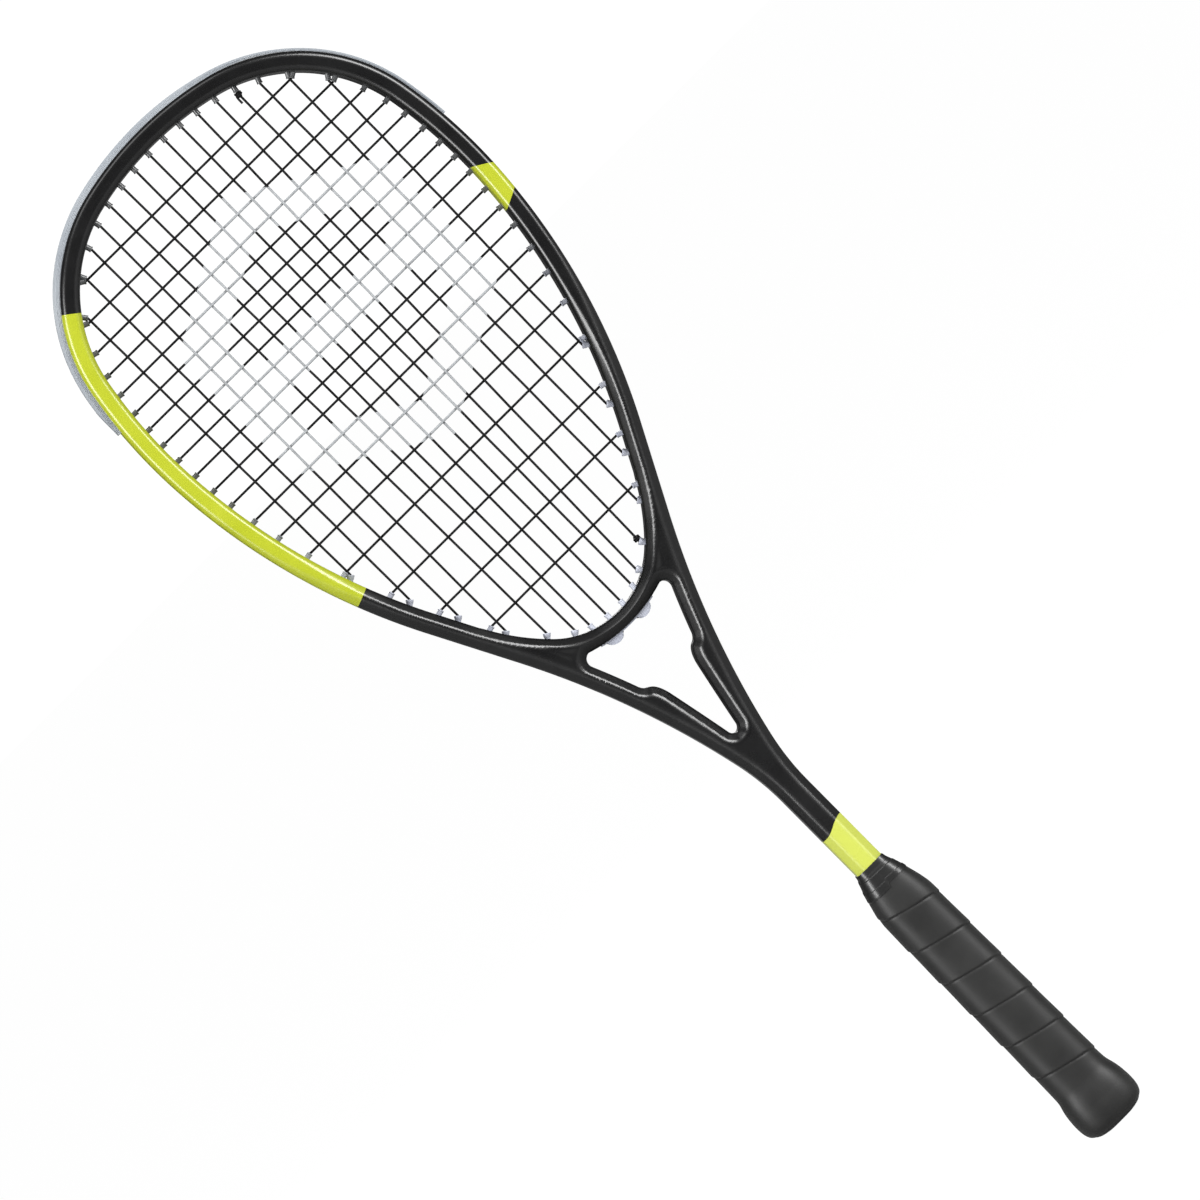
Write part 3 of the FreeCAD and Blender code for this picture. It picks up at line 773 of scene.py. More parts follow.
def mainRun(index, side):
    topMouth, topLeave = lifted(topEnds[index], side)
    footMouth, footLeave = lifted(footEnds[index], side)
    points = [topLeave, topMouth]
    column = index if side > 0 else -1 - index
    for row, height in enumerate(crossHeights):
        if footMouth.z + bed["crossClear"] < height < topMouth.z - bed["crossClear"]:
            lift = -weaveSide(row, column) * bed["lift"]
            points.append(Vector((side * mainX(index, height), lift, height)))
    return points + [footMouth, footLeave]


def crossRun(row):
    height = crossHeights[row]
    leftMouth, leftLeave = lifted(crossEnds[row], -1)
    rightMouth, rightLeave = lifted(crossEnds[row], 1)
    found = []
    for index in range(mainCount):
        foot, top = footEnds[index][0][1], topEnds[index][0][1]
        if foot + bed["crossClear"] < height < top - bed["crossClear"]:
            x = mainX(index, height)
            found += [(x, index), (-x, -1 - index)]
    points = [leftLeave, leftMouth]
    for x, column in sorted(found):
        points.append(Vector((x, weaveSide(row, column) * bed["lift"], height)))
    return points + [rightMouth, rightLeave]


def loopRun(first, last, shift, side):
    height = grooveFloor + grommets["stripThick"] + bed["radius"]
    a, b = sorted([lengthOf(first[1]), lengthOf(last[1])])
    points = []
    for along in steps(a, b, bed["loopStep"]):
        x, z = offsetPoint(along, height)
        points.append(Vector((side * x, shift, z)))
    starts = sorted([first, last], key=lambda ends: lengthOf(ends[1]))
    dips = [inPlane(ends[1], shift * bed["loopDip"], side) for ends in starts]
    return [dips[0]] + points + [dips[1]]


def middleLoop(shift):
    half = lengthOf(topEnds[0][1])
    height = grooveFloor + grommets["stripThick"] + bed["radius"]
    points = [inPlane(topEnds[0][1], shift, -1)]
    for along in steps(-half, half, bed["middleStep"]):
        x, z = offsetPoint(abs(along), height)
        points.append(Vector((x if along > 0 else -x, shift, z)))
    return points + [inPlane(topEnds[0][1], shift, 1)]


knot = {
    "points": 29,
    "perTurn": 12,
    "gap": 0.00012,
    "wobble": 0.10,
    "wobblePhase": 0.6,
    "rise": (0.0005, 0.0021),
    "tail": [(0.0004, 0.0007), (-0.0002, 0.0016), (-0.0012, 0.0022)],       # along the string, aside
    "thin": 0.97,
    "topTail": [(-0.0004, -0.0003, -0.0022), (-0.0003, -0.0004, -0.0046)],
    "footTail": [(-0.0014, -0.0004, 0.0005), (-0.0028, -0.0005, 0.0009)],
}


def knotRun(mouth, towards, lean, tail):
    start = inPlane(mouth)
    way = (inPlane(towards) - start).normalized()
    aside = way.cross(Vector((0, 1, 0)))
    through = Vector((0, 1, 0))
    around = 2 * bed["radius"] + knot["gap"]
    first, climb = knot["rise"]
    points = []
    for i in range(knot["points"]):
        angle = 2 * math.pi * i / knot["perTurn"]
        wobble = 1 + knot["wobble"] * math.sin(3 * angle + knot["wobblePhase"])
        rise = first + climb * i / (knot["points"] - 1)
        spoke = aside * math.cos(angle) * lean + through * math.sin(angle)
        points.append(start + way * rise + spoke * around * wobble)
    root = points[-1]
    points += [root + way * along + aside * lean * out for along, out in knot["tail"]]
    root = points[-1]
    return points + [root + Vector(place) for place in tail]


def stringPiece(name, node, runs, material, detail, kind="BEZIER", thin=1.0):
    mesh = tubes(name, runs, bed["radius"] * thin, *detail, kind)
    piece = newPiece(name, mesh, [node])
    piece.data.materials.append(material)


def buildStrings(material):
    mains = [mainRun(index, side) for index in range(mainCount) for side in (-1, 1)]
    crosses = [crossRun(row) for row in range(len(crossHeights))]
    stringPiece("mainStrings", "main_strings", mains, material, bed["runSteps"])
    stringPiece("crossStrings", "cross_strings", crosses, material, bed["runSteps"])
    shift = bed["loopShift"]
    head = [loopRun(topEnds[a], topEnds[a + 1], -shift, side) for a in (1, 3, 5) for side in (-1, 1)]
    head += [middleLoop(-shift), loopRun(topEnds[4], topEnds[7], shift, 1)]
    stringPiece("headLoops", "head_string_loops", head, material, bed["loopSteps"], "NURBS")
    lastLoops = {1: (crossEnds[-1], footEnds[3]), -1: (topEnds[7], crossEnds[0])}
    sides = (("rightLoops", "right_string_loops", 1), ("leftLoops", "left_string_loops", -1))
    for name, node, side in sides:
        runs = [loopRun(footEnds[a], footEnds[a + 1], -shift, side) for a in (2, 4, 6)]
        for row in range(0 if side > 0 else 1, len(crossEnds) - 1, 2):
            runs.append(loopRun(crossEnds[row], crossEnds[row + 1], shift, side))
        runs.append(loopRun(*lastLoops[side], shift, side))
        stringPiece(name, node, runs, material, bed["loopSteps"], "NURBS")
    drop = throatStrip["thick"] + bed["radius"]
    (ax, az), (bx, bz) = [leave for _, leave in footEnds[:2]]
    points = [(ax, az), (ax, az - drop), ((ax + bx) / 2, (az + bz) / 2 - drop), (bx, bz - drop), (bx, bz)]
    under = [[inPlane(point, 0, side) for point in points] for side in (-1, 1)]
    stringPiece("throatLoops", "throat_string_loops", under, material, bed["underSteps"], "NURBS")
    topKnot = knotRun(topEnds[4][0], footEnds[4][0], -1, knot["topTail"])
    stringPiece("topKnot", "top_knot", [topKnot], material, bed["runSteps"], "NURBS", knot["thin"])
    footKnot = knotRun(footEnds[3][0], topEnds[3][0], -1, knot["footTail"])
    stringPiece("throatKnot", "throat_knot", [footKnot], material, bed["runSteps"], "NURBS", knot["thin"])


grip = {
    # height, half across, half through, corner chamfer, all outside
    "levels": [
        (0.0005, 0.0114, 0.0090, 0.0046),
        (0.0011, 0.0135, 0.0111, 0.0052),
        (0.0023, 0.0160, 0.0134, 0.0058),
        (0.0044, 0.0176, 0.0149, 0.0063),
        (0.0080, 0.0186, 0.0158, 0.0067),
        (0.0130, 0.0188, 0.0161, 0.0070),
        (0.0190, 0.0183, 0.0156, 0.0068),
        (0.0232, 0.0174, 0.0148, 0.0065),
        (0.0262, 0.0164, 0.0139, 0.0062),
        (0.0300, 0.0162, 0.0137, 0.0062),
        (0.1500, 0.0160, 0.0135, 0.0060),
        (0.1560, 0.0149, 0.0133, 0.0054),
        (0.1648, 0.0126, 0.0127, 0.0044),
    ],
    "thick": 0.0017,
    "pitch": 0.0217,
    "phase": 0.94,
    "step": 0.00045,            # how far a turn stands on the one below
    "groove": 0.00050,
    "columns": 120,
    "row": 0.00045,
    "corner": 7.5,              # sharpness of the rounded corners
    "ease": 0.0018,
    "seamsFrom": 0.026,
    "seamsFade": 0.006,
    "topFade": 0.004,
    "topKeep": 0.3,
    "stepCurve": 1.4,
    "stepDown": 0.4,
    "grooveHalf": 0.00045,
    "endRows": (0.0006, 0.0044, 0.0003),
    "rowsFrom": 0.005,
}
buttCap = {
    "levels": [
        (0.0000, 0.0070, 0.0050, 0.0030),
        (0.0002, 0.0098, 0.0076, 0.0040),
        (0.0008, 0.0118, 0.0095, 0.0046),
        (0.0022, 0.0137, 0.0113, 0.0051),
        (0.0044, 0.0153, 0.0129, 0.0056),
        (0.0080, 0.0164, 0.0138, 0.0059),
        (0.0130, 0.0168, 0.0142, 0.0061),
        (0.0220, 0.0156, 0.0131, 0.0055),
        (0.0280, 0.0147, 0.0122, 0.0053),
    ],
    "columns": 72,
    "corner": 10.0,
    # the end face, from the middle out: share of the radius, height
    "end": [(0.30, 0.0014), (0.36, 0.0002), (0.42, 0.0), (0.48, 0.0002), (0.54, 0.0)],
    "firstRows": [0.0, 0.0002, 0.0005, 0.0008],
    "rowsFrom": 0.0014,
    "row": 0.0009,
    "inside": 0.88,
}
tape = {
    "levels": [
        (0.1630, 0.0130, 0.0131, 0.0046),
        (0.1680, 0.0113, 0.0123, 0.0039),
        (0.1728, 0.0094, 0.0111, 0.0031),
        (0.1738, 0.0089, 0.0106, 0.0028),
        (0.1764, 0.0084, 0.0101, 0.0024),
    ],
    "slant": 0.0022,
    "pitch": 0.0052,
    "fold": 0.00032,            # how far each turn stands on the one above
    "foldFade": 6.0,
    "corner": 16.0,
    "ease": 0.0003,
    "thick": 0.0006,
    "columns": 120,
    "row": 0.00025,
}


def levelAt(levels, height):
    height = min(max(height, levels[0][0]), levels[-1][0])
    for lower, upper in zip(levels, levels[1:]):
        if height <= upper[0]:
            share = (height - lower[0]) / (upper[0] - lower[0])
            return [p + (q - p) * share for p, q in zip(lower[1:], upper[1:])]


def easedLevel(levels, height, reach):
    near = min(reach, height - levels[0][0], levels[-1][0] - height)
    parts = [levelAt(levels, height + near * k) for k in (-1, -0.5, 0, 0.5, 1)]
    return [sum(values) / len(parts) for values in zip(*parts)]


def boxRadius(angle, across, through, chamfer, corner):
    dx, dy = abs(math.cos(angle)), abs(math.sin(angle))
    bevel = (across + through - chamfer) / math.sqrt(2)
    terms = (dx / across, dy / through, (dx + dy) / math.sqrt(2) / bevel)
    return 1 / sum(t ** corner for t in terms) ** (1 / corner)


def shellRings(bm, heights, columns, radiusAt, thick, layer=None, valueAt=None):
    rings = []
    for wall in (0, 1):
        for height in (heights if wall == 0 else list(reversed(heights))):
            ring = []
            for i in range(columns):
                angle = 2 * math.pi * i / columns
                radius, z = radiusAt(angle, height)
                radius -= thick * wall
                vert = bm.verts.new((math.cos(angle) * radius, math.sin(angle) * radius, z))
                if layer:
                    vert[layer] = valueAt(angle, height)
                ring.append(vert)
            rings.append(ring)
    bridgeRings(bm, rings, True)


def turnShare(angle, height):
    turn = ((angle + math.pi) / (2 * math.pi)) % 1.0
    return (height / grip["pitch"] + turn + grip["phase"]) % 1.0


def gripSurface(angle, height):
    across, through, chamfer = easedLevel(grip["levels"], height, grip["ease"])
    radius = boxRadius(angle, across, through, chamfer, grip["corner"])
    share = turnShare(angle, height)
    top = grip["levels"][-1][0]
    fadeLow = (height - grip["seamsFrom"]) / grip["seamsFade"]
    fadeHigh = (top - height) / grip["topFade"] + grip["topKeep"]
    lift = grip["step"] * ((1 - share) ** grip["stepCurve"] - grip["stepDown"])
    nearSeam = min(share, 1 - share) * grip["pitch"]
    lift -= grip["groove"] * math.exp(-(nearSeam / grip["grooveHalf"]) ** 2)
    return radius + lift * max(0.0, min(1.0, fadeLow, fadeHigh)), height


def buildGrip(material):
    bm = bmesh.new()
    layer = bm.verts.layers.float.new("turnShare")
    low, high = grip["levels"][0][0], grip["levels"][-1][0]
    heights = [low] + steps(*grip["endRows"]) + steps(grip["rowsFrom"], high, grip["row"])
    shellRings(bm, heights, grip["columns"], gripSurface, grip["thick"], layer, turnShare)
    mesh = finishMesh("gripWrap", bm, creases["wrap"])
    piece = newPiece("gripWrap", mesh, ["base_grip"])
    piece.data.materials.append(material)


def capSurface(angle, height):
    across, through, chamfer = levelAt(buttCap["levels"], height)
    return boxRadius(angle, across, through, chamfer, buttCap["corner"])


def buildCap(material):
    bm = bmesh.new()
    columns = buttCap["columns"]
    top = buttCap["levels"][-1][0]
    heights = buttCap["firstRows"] + steps(buttCap["rowsFrom"], top, buttCap["row"])
    rings = [(share, 0.0, z) for share, z in buttCap["end"]]
    rings += [(1.0, height, height) for height in heights]
    rings.append((buttCap["inside"], top, top))
    made = []
    for share, height, z in rings:
        ring = []
        for i in range(columns):
            angle = 2 * math.pi * i / columns
            radius = capSurface(angle, height) * share
            ring.append(bm.verts.new((math.cos(angle) * radius, math.sin(angle) * radius, z)))
        made.append(ring)
    bridgeRings(bm, made, False)
    bm.faces.new(made[0])
    bm.faces.new(made[-1])
    mesh = finishMesh("buttCap", bm, creases["cap"])
    piece = newPiece("buttCap", mesh, ["butt_cap"])
    piece.data.materials.append(material)


def tapeSurface(angle, height):
    low, high = tape["levels"][0][0], tape["levels"][-1][0]
    share = (high - height) / (high - low)
    turn = ((angle + math.pi / 2) / (2 * math.pi)) % 1.0
    z = height + share ** 2 * tape["slant"] * (0.5 - turn)
    across, through, chamfer = easedLevel(tape["levels"], max(low, min(high, z)), tape["ease"])
    radius = boxRadius(angle, across, through, chamfer, tape["corner"])
    along = (height / tape["pitch"] + turn) % 1.0
    return radius + tape["fold"] * along ** 2 * min(1.0, share * tape["foldFade"]), z


def buildTape(material):
    bm = bmesh.new()
    low, high = tape["levels"][0][0], tape["levels"][-1][0]
    shellRings(bm, steps(low, high, tape["row"]), tape["columns"], tapeSurface, tape["thick"])
    mesh = finishMesh("finishTape", bm, creases["wrap"])
    piece = newPiece("finishTape", mesh, ["finishing_tape"])
    piece.data.materials.append(material)


def newGroup(name, inputs, outputs):
    group = bpy.data.node_groups.new(name, "ShaderNodeTree")
    for socket, kind, value in inputs:
        made = group.interface.new_socket(name=socket, in_out="INPUT", socket_type=kind)
        if value is not None:
            made.default_value = value
    for socket, kind in outputs:
        group.interface.new_socket(name=socket, in_out="OUTPUT", socket_type=kind)
    entry = group.nodes.new("NodeGroupInput")
    result = group.nodes.new("NodeGroupOutput")
    return group, entry, result


def link(tree, a, b):
    tree.links.new(a, b)


def mathNode(tree, operation, *values, clamp=False):
    node = tree.nodes.new("ShaderNodeMath")
    node.operation = operation
    node.use_clamp = clamp
    for index, value in enumerate(values):
        if isinstance(value, (int, float)):
            node.inputs[index].default_value = value
        else:
            tree.links.new(value, node.inputs[index])
    return node.outputs[0]


def noiseNode(tree, coordinates, scale, detail, rough):
    node = tree.nodes.new("ShaderNodeTexNoise")
    node.inputs["Scale"].default_value = scale
    node.inputs["Detail"].default_value = detail
    node.inputs["Roughness"].default_value = rough
    tree.links.new(coordinates, node.inputs["Vector"])
    return node.outputs["Fac"]


def mixColour(tree, factor, a, b):
    node = tree.nodes.new("ShaderNodeMix")
    node.data_type = "RGBA"
    if isinstance(factor, float):
        node.inputs[0].default_value = factor
    else:
        tree.links.new(factor, node.inputs[0])
    for index, value in ((6, a), (7, b)):
        if isinstance(value, tuple):
            node.inputs[index].default_value = value
        else:
            tree.links.new(value, node.inputs[index])
    return node.outputs[2]


def makeCutPlane():
    # 1 on the side of a slanting cut towards Facing, 0 beyond it
    group, entry, result = newGroup("cutPlane", [
        ("Position", "NodeSocketVector", None),
        ("Through", "NodeSocketVector", None),
        ("Facing", "NodeSocketVector", None),
        ("Soft", "NodeSocketFloat", 0.00012),
    ], [("Mask", "NodeSocketFloat")])
    away = group.nodes.new("ShaderNodeVectorMath")
    away.operation = "SUBTRACT"
    link(group, entry.outputs["Position"], away.inputs[0])
    link(group, entry.outputs["Through"], away.inputs[1])
    along = group.nodes.new("ShaderNodeVectorMath")
    along.operation = "DOT_PRODUCT"
    link(group, away.outputs[0], along.inputs[0])
    link(group, entry.outputs["Facing"], along.inputs[1])
    share = mathNode(group, "DIVIDE", along.outputs["Value"], entry.outputs["Soft"])
    link(group, mathNode(group, "ADD", share, 0.5, clamp=True), result.inputs["Mask"])
    return group


def makeGrain():
    # fine surface grain: a height for bump and a value that shifts roughness and tone
    group, entry, result = newGroup("surfaceGrain", [
        ("Position", "NodeSocketVector", None),
        ("Fine", "NodeSocketFloat", 900.0),
        ("Broad", "NodeSocketFloat", 40.0),
    ], [("Height", "NodeSocketFloat"), ("Tone", "NodeSocketFloat")])
    for socket, scaleName, detail in (("Height", "Fine", 4.0), ("Tone", "Broad", 5.0)):
        node = group.nodes.new("ShaderNodeTexNoise")
        node.inputs["Detail"].default_value = detail
        link(group, entry.outputs["Position"], node.inputs["Vector"])
        link(group, entry.outputs[scaleName], node.inputs["Scale"])
        link(group, node.outputs["Fac"], result.inputs[socket])
    return group


def makePebble():
    group, entry, result = newGroup("pebbleGrain", [
        ("Position", "NodeSocketVector", None),
        ("Scale", "NodeSocketFloat", 2200.0),
    ], [("Height", "NodeSocketFloat")])
    cells = group.nodes.new("ShaderNodeTexVoronoi")
    cells.feature = "SMOOTH_F1"
    link(group, entry.outputs["Position"], cells.inputs["Vector"])
    link(group, entry.outputs["Scale"], cells.inputs["Scale"])
    link(group, cells.outputs["Distance"], result.inputs["Height"])
    return group


def makeEdgeWear():
    group, entry, result = newGroup("edgeWear", [
        ("Position", "NodeSocketVector", None),
        ("Amount", "NodeSocketFloat", 0.5),
        ("Scale", "NodeSocketFloat", 300.0),
    ], [("Mask", "NodeSocketFloat")])
    geometry = group.nodes.new("ShaderNodeNewGeometry")
    convex = mathNode(group, "SUBTRACT", geometry.outputs["Pointiness"], 0.5)
    edge = mathNode(group, "MULTIPLY", convex, 8.0, clamp=True)
    broken = group.nodes.new("ShaderNodeTexNoise")
    broken.inputs["Detail"].default_value = 4.0
    link(group, entry.outputs["Position"], broken.inputs["Vector"])
    link(group, entry.outputs["Scale"], broken.inputs["Scale"])
    mask = mathNode(group, "MULTIPLY", edge, broken.outputs["Fac"])
    mask = mathNode(group, "MULTIPLY", mask, entry.outputs["Amount"], clamp=True)
    link(group, mask, result.inputs["Mask"])
    return group


groups = {"cut": makeCutPlane(), "grain": makeGrain(), "pebble": makePebble(), "wear": makeEdgeWear()}


def startMaterial(name, settings):
    material = bpy.data.materials.new(name)
    material.use_nodes = True
    tree = material.node_tree
    shader = tree.nodes["Principled BSDF"]
    for socket, value in settings.items():
        shader.inputs[socket].default_value = value
    coordinates = tree.nodes.new("ShaderNodeTexCoord").outputs["Object"]
    return material, tree, shader, coordinates


def useGroup(tree, key, **values):
    node = tree.nodes.new("ShaderNodeGroup")
    node.node_tree = groups[key]
    for socket, value in values.items():
        if isinstance(value, (int, float, tuple)):
            node.inputs[socket].default_value = value
        else:
            tree.links.new(value, node.inputs[socket])
    return node


def bump(tree, shader, height, strength, distance):
    node = tree.nodes.new("ShaderNodeBump")
    node.inputs["Strength"].default_value = strength
    node.inputs["Distance"].default_value = distance
    tree.links.new(height, node.inputs["Height"])
    tree.links.new(node.outputs["Normal"], shader.inputs["Normal"])


def spread(tree, value, low, high):
    node = tree.nodes.new("ShaderNodeMapRange")
    node.inputs["From Min"].default_value = 0.3
    node.inputs["From Max"].default_value = 0.7
    node.inputs["To Min"].default_value = low
    node.inputs["To Max"].default_value = high
    tree.links.new(value, node.inputs["Value"])
    return node.outputs[0]


def grainOf(tree, position, finish):
    fine, broad = finish["grain"]
    grain = useGroup(tree, "grain", Position=position, Fine=fine, Broad=broad)
    tone = grain.outputs["Tone"]
    return grain.outputs["Height"], tone, spread(tree, tone, 0.0, 1.0)


def setSurface(tree, shader, position, finish, colour, tone, height):
    if "wear" in finish:
        amount, scale = finish["wear"]
        wear = useGroup(tree, "wear", Position=position, Amount=amount, Scale=scale)
        colour = mixColour(tree, wear.outputs["Mask"], colour, finish["worn"])
    link(tree, colour, shader.inputs["Base Color"])
    link(tree, spread(tree, tone, *finish["roughness"]), shader.inputs["Roughness"])
    bump(tree, shader, height, *finish["bump"])


paint = {
    "black": (0.0025, 0.0025, 0.0027, 1),
    "blackTone": (0.0038, 0.0038, 0.0040, 1),
    "lime": (0.262, 0.298, 0.012, 1),
    "limeTone": (0.293, 0.325, 0.018, 1),
    # the shaft's band is the same lime paint; its brighter, paler colour is painted light
    "shaftLimeLit": (0.385, 0.425, 0.066, 1),
    "leftTop": 0.6421,
    "leftFoot": 0.4446,
    "rightTop": ((0.101, 0.5566), (0.111, 0.5506)),
    "rightFoot": ((0.101, 0.5296), (0.111, 0.5346)),
    "shaftTop": ((-0.008, 0.2002), (0.008, 0.2049)),
    "shaftFoot": 0.1740,
    "accentTop": 0.3176,
    "accentFoot": 0.2296,
    "accentFacing": 0.90,       # only where the wall faces outwards this much
    "accentSharp": 30.0,
    "waveTurns": 392.0,         # gentle wave in the upper edge of the shaft's band
    "waveHigh": 0.0006,
    "worn": (0.09, 0.09, 0.09, 1),
    "wear": (0.12, 420.0),
    "grain": (1400.0, 55.0),
    "bump": (0.02, 0.0002),
    "roughness": (0.25, 0.31),
}


def cutMask(tree, position, through, facing):
    length = math.hypot(*facing)
    direction = (facing[0] / length, 0.0, facing[1] / length)
    place = (through[0], 0.0, through[1])
    return useGroup(tree, "cut", Position=position, Through=place, Facing=direction).outputs["Mask"]


def makePaint():
    material, tree, shader, position = startMaterial("carbonPaint", {
        "Roughness": 0.28, "Specular IOR Level": 0.42, "Coat Weight": 0.1, "Coat Roughness": 0.15,
    })
    grainHeight, tone, share = grainOf(tree, position, paint)

    def squareCut(height, side, downwards):
        along = lengthAtHeight(height)
        x, z, heading = atLength(along)
        way = (side * math.cos(heading), -math.sin(heading))
        if not downwards:
            way = (-way[0], -way[1])
        return cutMask(tree, position, (side * x, z), way)

    def slantCut(points, up):
        (ax, az), (bx, bz) = points
        normal = (-(bz - az), bx - ax)
        if (normal[1] > 0) != up:
            normal = (-normal[0], -normal[1])
        return cutMask(tree, position, ((ax + bx) / 2, (az + bz) / 2), normal)

    def both(*masks):
        value = masks[0]
        for mask in masks[1:]:
            value = mathNode(tree, "MULTIPLY", value, mask)
        return value

    leftSide = cutMask(tree, position, (0.0, 0.0), (-1.0, 0.0))
    rightSide = cutMask(tree, position, (0.0, 0.0), (1.0, 0.0))
    left = both(squareCut(paint["leftTop"], -1, True), squareCut(paint["leftFoot"], -1, False), leftSide)
    right = both(slantCut(paint["rightTop"], False), slantCut(paint["rightFoot"], True), rightSide)
    wave = mathNode(tree, "SINE", mathNode(tree, "MULTIPLY", split(tree, position)[0], paint["waveTurns"]))
    wave = mathNode(tree, "MULTIPLY", wave, -paint["waveHigh"])
    shifted = joinHeight(tree, position, wave)
    (ax, az), (bx, bz) = paint["shaftTop"]
    shaftTop = cutMask(tree, shifted, (0.0, (az + bz) / 2), ((bz - az), -(bx - ax)))
    shaft = both(shaftTop, cutMask(tree, position, (0.0, paint["shaftFoot"]), (0.0, 1.0)))
    geometry = tree.nodes.new("ShaderNodeNewGeometry")
    outward = mathNode(tree, "SUBTRACT", split(tree, geometry.outputs["Normal"])[0], paint["accentFacing"])
    outward = mathNode(tree, "MULTIPLY", outward, paint["accentSharp"], clamp=True)
    accent = both(outward, cutMask(tree, position, (0.0, paint["accentTop"]), (0.0, -1.0)),
                  cutMask(tree, position, (0.0, paint["accentFoot"]), (0.0, 1.0)), rightSide)
    lime = left
    for part in (right, shaft, accent):
        lime = mathNode(tree, "MAXIMUM", lime, part)
    dark = mixColour(tree, share, paint["black"], paint["blackTone"])
    bright = mixColour(tree, share, paint["lime"], paint["limeTone"])
    # painted light: the shaft's band takes the brighter copy of the lime
    bright = mixColour(tree, shaft, bright, paint["shaftLimeLit"])
    colour = mixColour(tree, lime, dark, bright)
    setSurface(tree, shader, position, paint, colour, tone, grainHeight)
    return material


def split(tree, vector):
    node = tree.nodes.new("ShaderNodeSeparateXYZ")
    tree.links.new(vector, node.inputs[0])
    return node.outputs[0], node.outputs[1], node.outputs[2]


def joinHeight(tree, position, extra):
    x, y, z = split(tree, position)
    node = tree.nodes.new("ShaderNodeCombineXYZ")
    link(tree, x, node.inputs[0])
    link(tree, y, node.inputs[1])
    link(tree, mathNode(tree, "ADD", z, extra), node.inputs[2])
    return node.outputs[0]


stencil = {
    "centre": (0.005, 0.550),
    "outer": 0.070,             # across flats, from the middle of a plain six-sided ring
    "inner": 0.050,
    "bar": 0.009,
    "ink": (0.27, 0.28, 0.29, 1),
    "cover": (0.72, 1.0),
    "specks": (260.0, 5.0, 0.65),
    "facing": -0.15,            # the ink lies only on the side that faces forwards
}
fibre = {
    "dark": (0.0025, 0.0025, 0.0027, 1),
    "light": (0.005, 0.005, 0.0053, 1),
    "roughness": (0.46, 0.58),
    "grain": (3000.0, 120.0),
    "twist": 420.0,
    "bump": (0.03, 0.00004),
}


def makeString():
    settings = {"Roughness": 0.5, "Specular IOR Level": 0.10}
    material, tree, shader, position = startMaterial("stringFibre", settings)
    x, y, z = split(tree, position)
    px = mathNode(tree, "SUBTRACT", x, stencil["centre"][0])
    pz = mathNode(tree, "SUBTRACT", z, stencil["centre"][1])
    reach = mathNode(tree, "ABSOLUTE", px)
    for turn in (60, 120):
        a = mathNode(tree, "MULTIPLY", px, math.cos(math.radians(turn)))
        b = mathNode(tree, "MULTIPLY", pz, math.sin(math.radians(turn)))
        reach = mathNode(tree, "MAXIMUM", reach, mathNode(tree, "ABSOLUTE", mathNode(tree, "ADD", a, b)))
    within = mathNode(tree, "LESS_THAN", reach, stencil["outer"])
    hollow = mathNode(tree, "LESS_THAN", reach, stencil["inner"])
    ring = mathNode(tree, "MULTIPLY", within, mathNode(tree, "SUBTRACT", 1.0, hollow))
    bar = mathNode(tree, "LESS_THAN", mathNode(tree, "ABSOLUTE", pz), stencil["bar"])
    bar = mathNode(tree, "MULTIPLY", bar, hollow)
    geometry = tree.nodes.new("ShaderNodeNewGeometry")
    front = mathNode(tree, "LESS_THAN", split(tree, geometry.outputs["Normal"])[1], stencil["facing"])
    ink = mathNode(tree, "MULTIPLY", mathNode(tree, "MAXIMUM", ring, bar), front)
    worn = noiseNode(tree, position, *stencil["specks"])
    ink = mathNode(tree, "MULTIPLY", ink, spread(tree, worn, *stencil["cover"]))
    grainHeight, tone, share = grainOf(tree, position, fibre)
    colour = mixColour(tree, share, fibre["dark"], fibre["light"])
    colour = mixColour(tree, ink, colour, stencil["ink"])
    twist = tree.nodes.new("ShaderNodeTexWave")
    twist.inputs["Scale"].default_value = fibre["twist"]
    twist.inputs["Distortion"].default_value = 1.5
    twist.bands_direction = "DIAGONAL"
    link(tree, position, twist.inputs["Vector"])
    setSurface(tree, shader, position, fibre, colour, tone, twist.outputs["Fac"])
    return material


bumperPlastic = {
    "dark": (0.215, 0.235, 0.26, 1),
    "light": (0.28, 0.30, 0.32, 1),
    "worn": (0.8, 0.8, 0.82, 1),
    "wear": (0.2, 900.0),
    "grain": (1800.0, 30.0),
    "bump": (0.04, 0.0001),
    "roughness": (0.28, 0.42),
}


def makeBumperPlastic():
    material, tree, shader, position = startMaterial("bumperPlastic", {
        "Roughness": 0.32, "Specular IOR Level": 0.5, "Coat Weight": 0.2, "Coat Roughness": 0.2,
    })
    height, tone, share = grainOf(tree, position, bumperPlastic)
    colour = mixColour(tree, share, bumperPlastic["dark"], bumperPlastic["light"])
    setSurface(tree, shader, position, bumperPlastic, colour, tone, height)
    return material


grommetPlastic = {
    "clear": ((0.36, 0.38, 0.45, 1), (0.42, 0.435, 0.49, 1)),
    "smoky": ((0.07, 0.073, 0.075, 1), (0.12, 0.123, 0.125, 1)),
    "smokyFrom": 0.44,          # height from which the barrels are smoky
    "change": 12.0,
    "grain": (1600.0, 90.0),
    "bump": (0.03, 0.0001),
    "roughness": (0.2, 0.34),
}


def makeGrommetPlastic():
    material, tree, shader, position = startMaterial("grommetPlastic", {
        "Roughness": 0.3, "Specular IOR Level": 0.5, "Transmission Weight": 0.1, "IOR": 1.45,
    })
    height, tone, share = grainOf(tree, position, grommetPlastic)
    z = split(tree, position)[2]
    upper = mathNode(tree, "SUBTRACT", z, grommetPlastic["smokyFrom"])
    upper = mathNode(tree, "MULTIPLY", upper, grommetPlastic["change"], clamp=True)
    lower = mixColour(tree, share, *grommetPlastic["clear"])
    smoky = mixColour(tree, share, *grommetPlastic["smoky"])
    colour = mixColour(tree, upper, lower, smoky)
    setSurface(tree, shader, position, grommetPlastic, colour, tone, height)
    return material


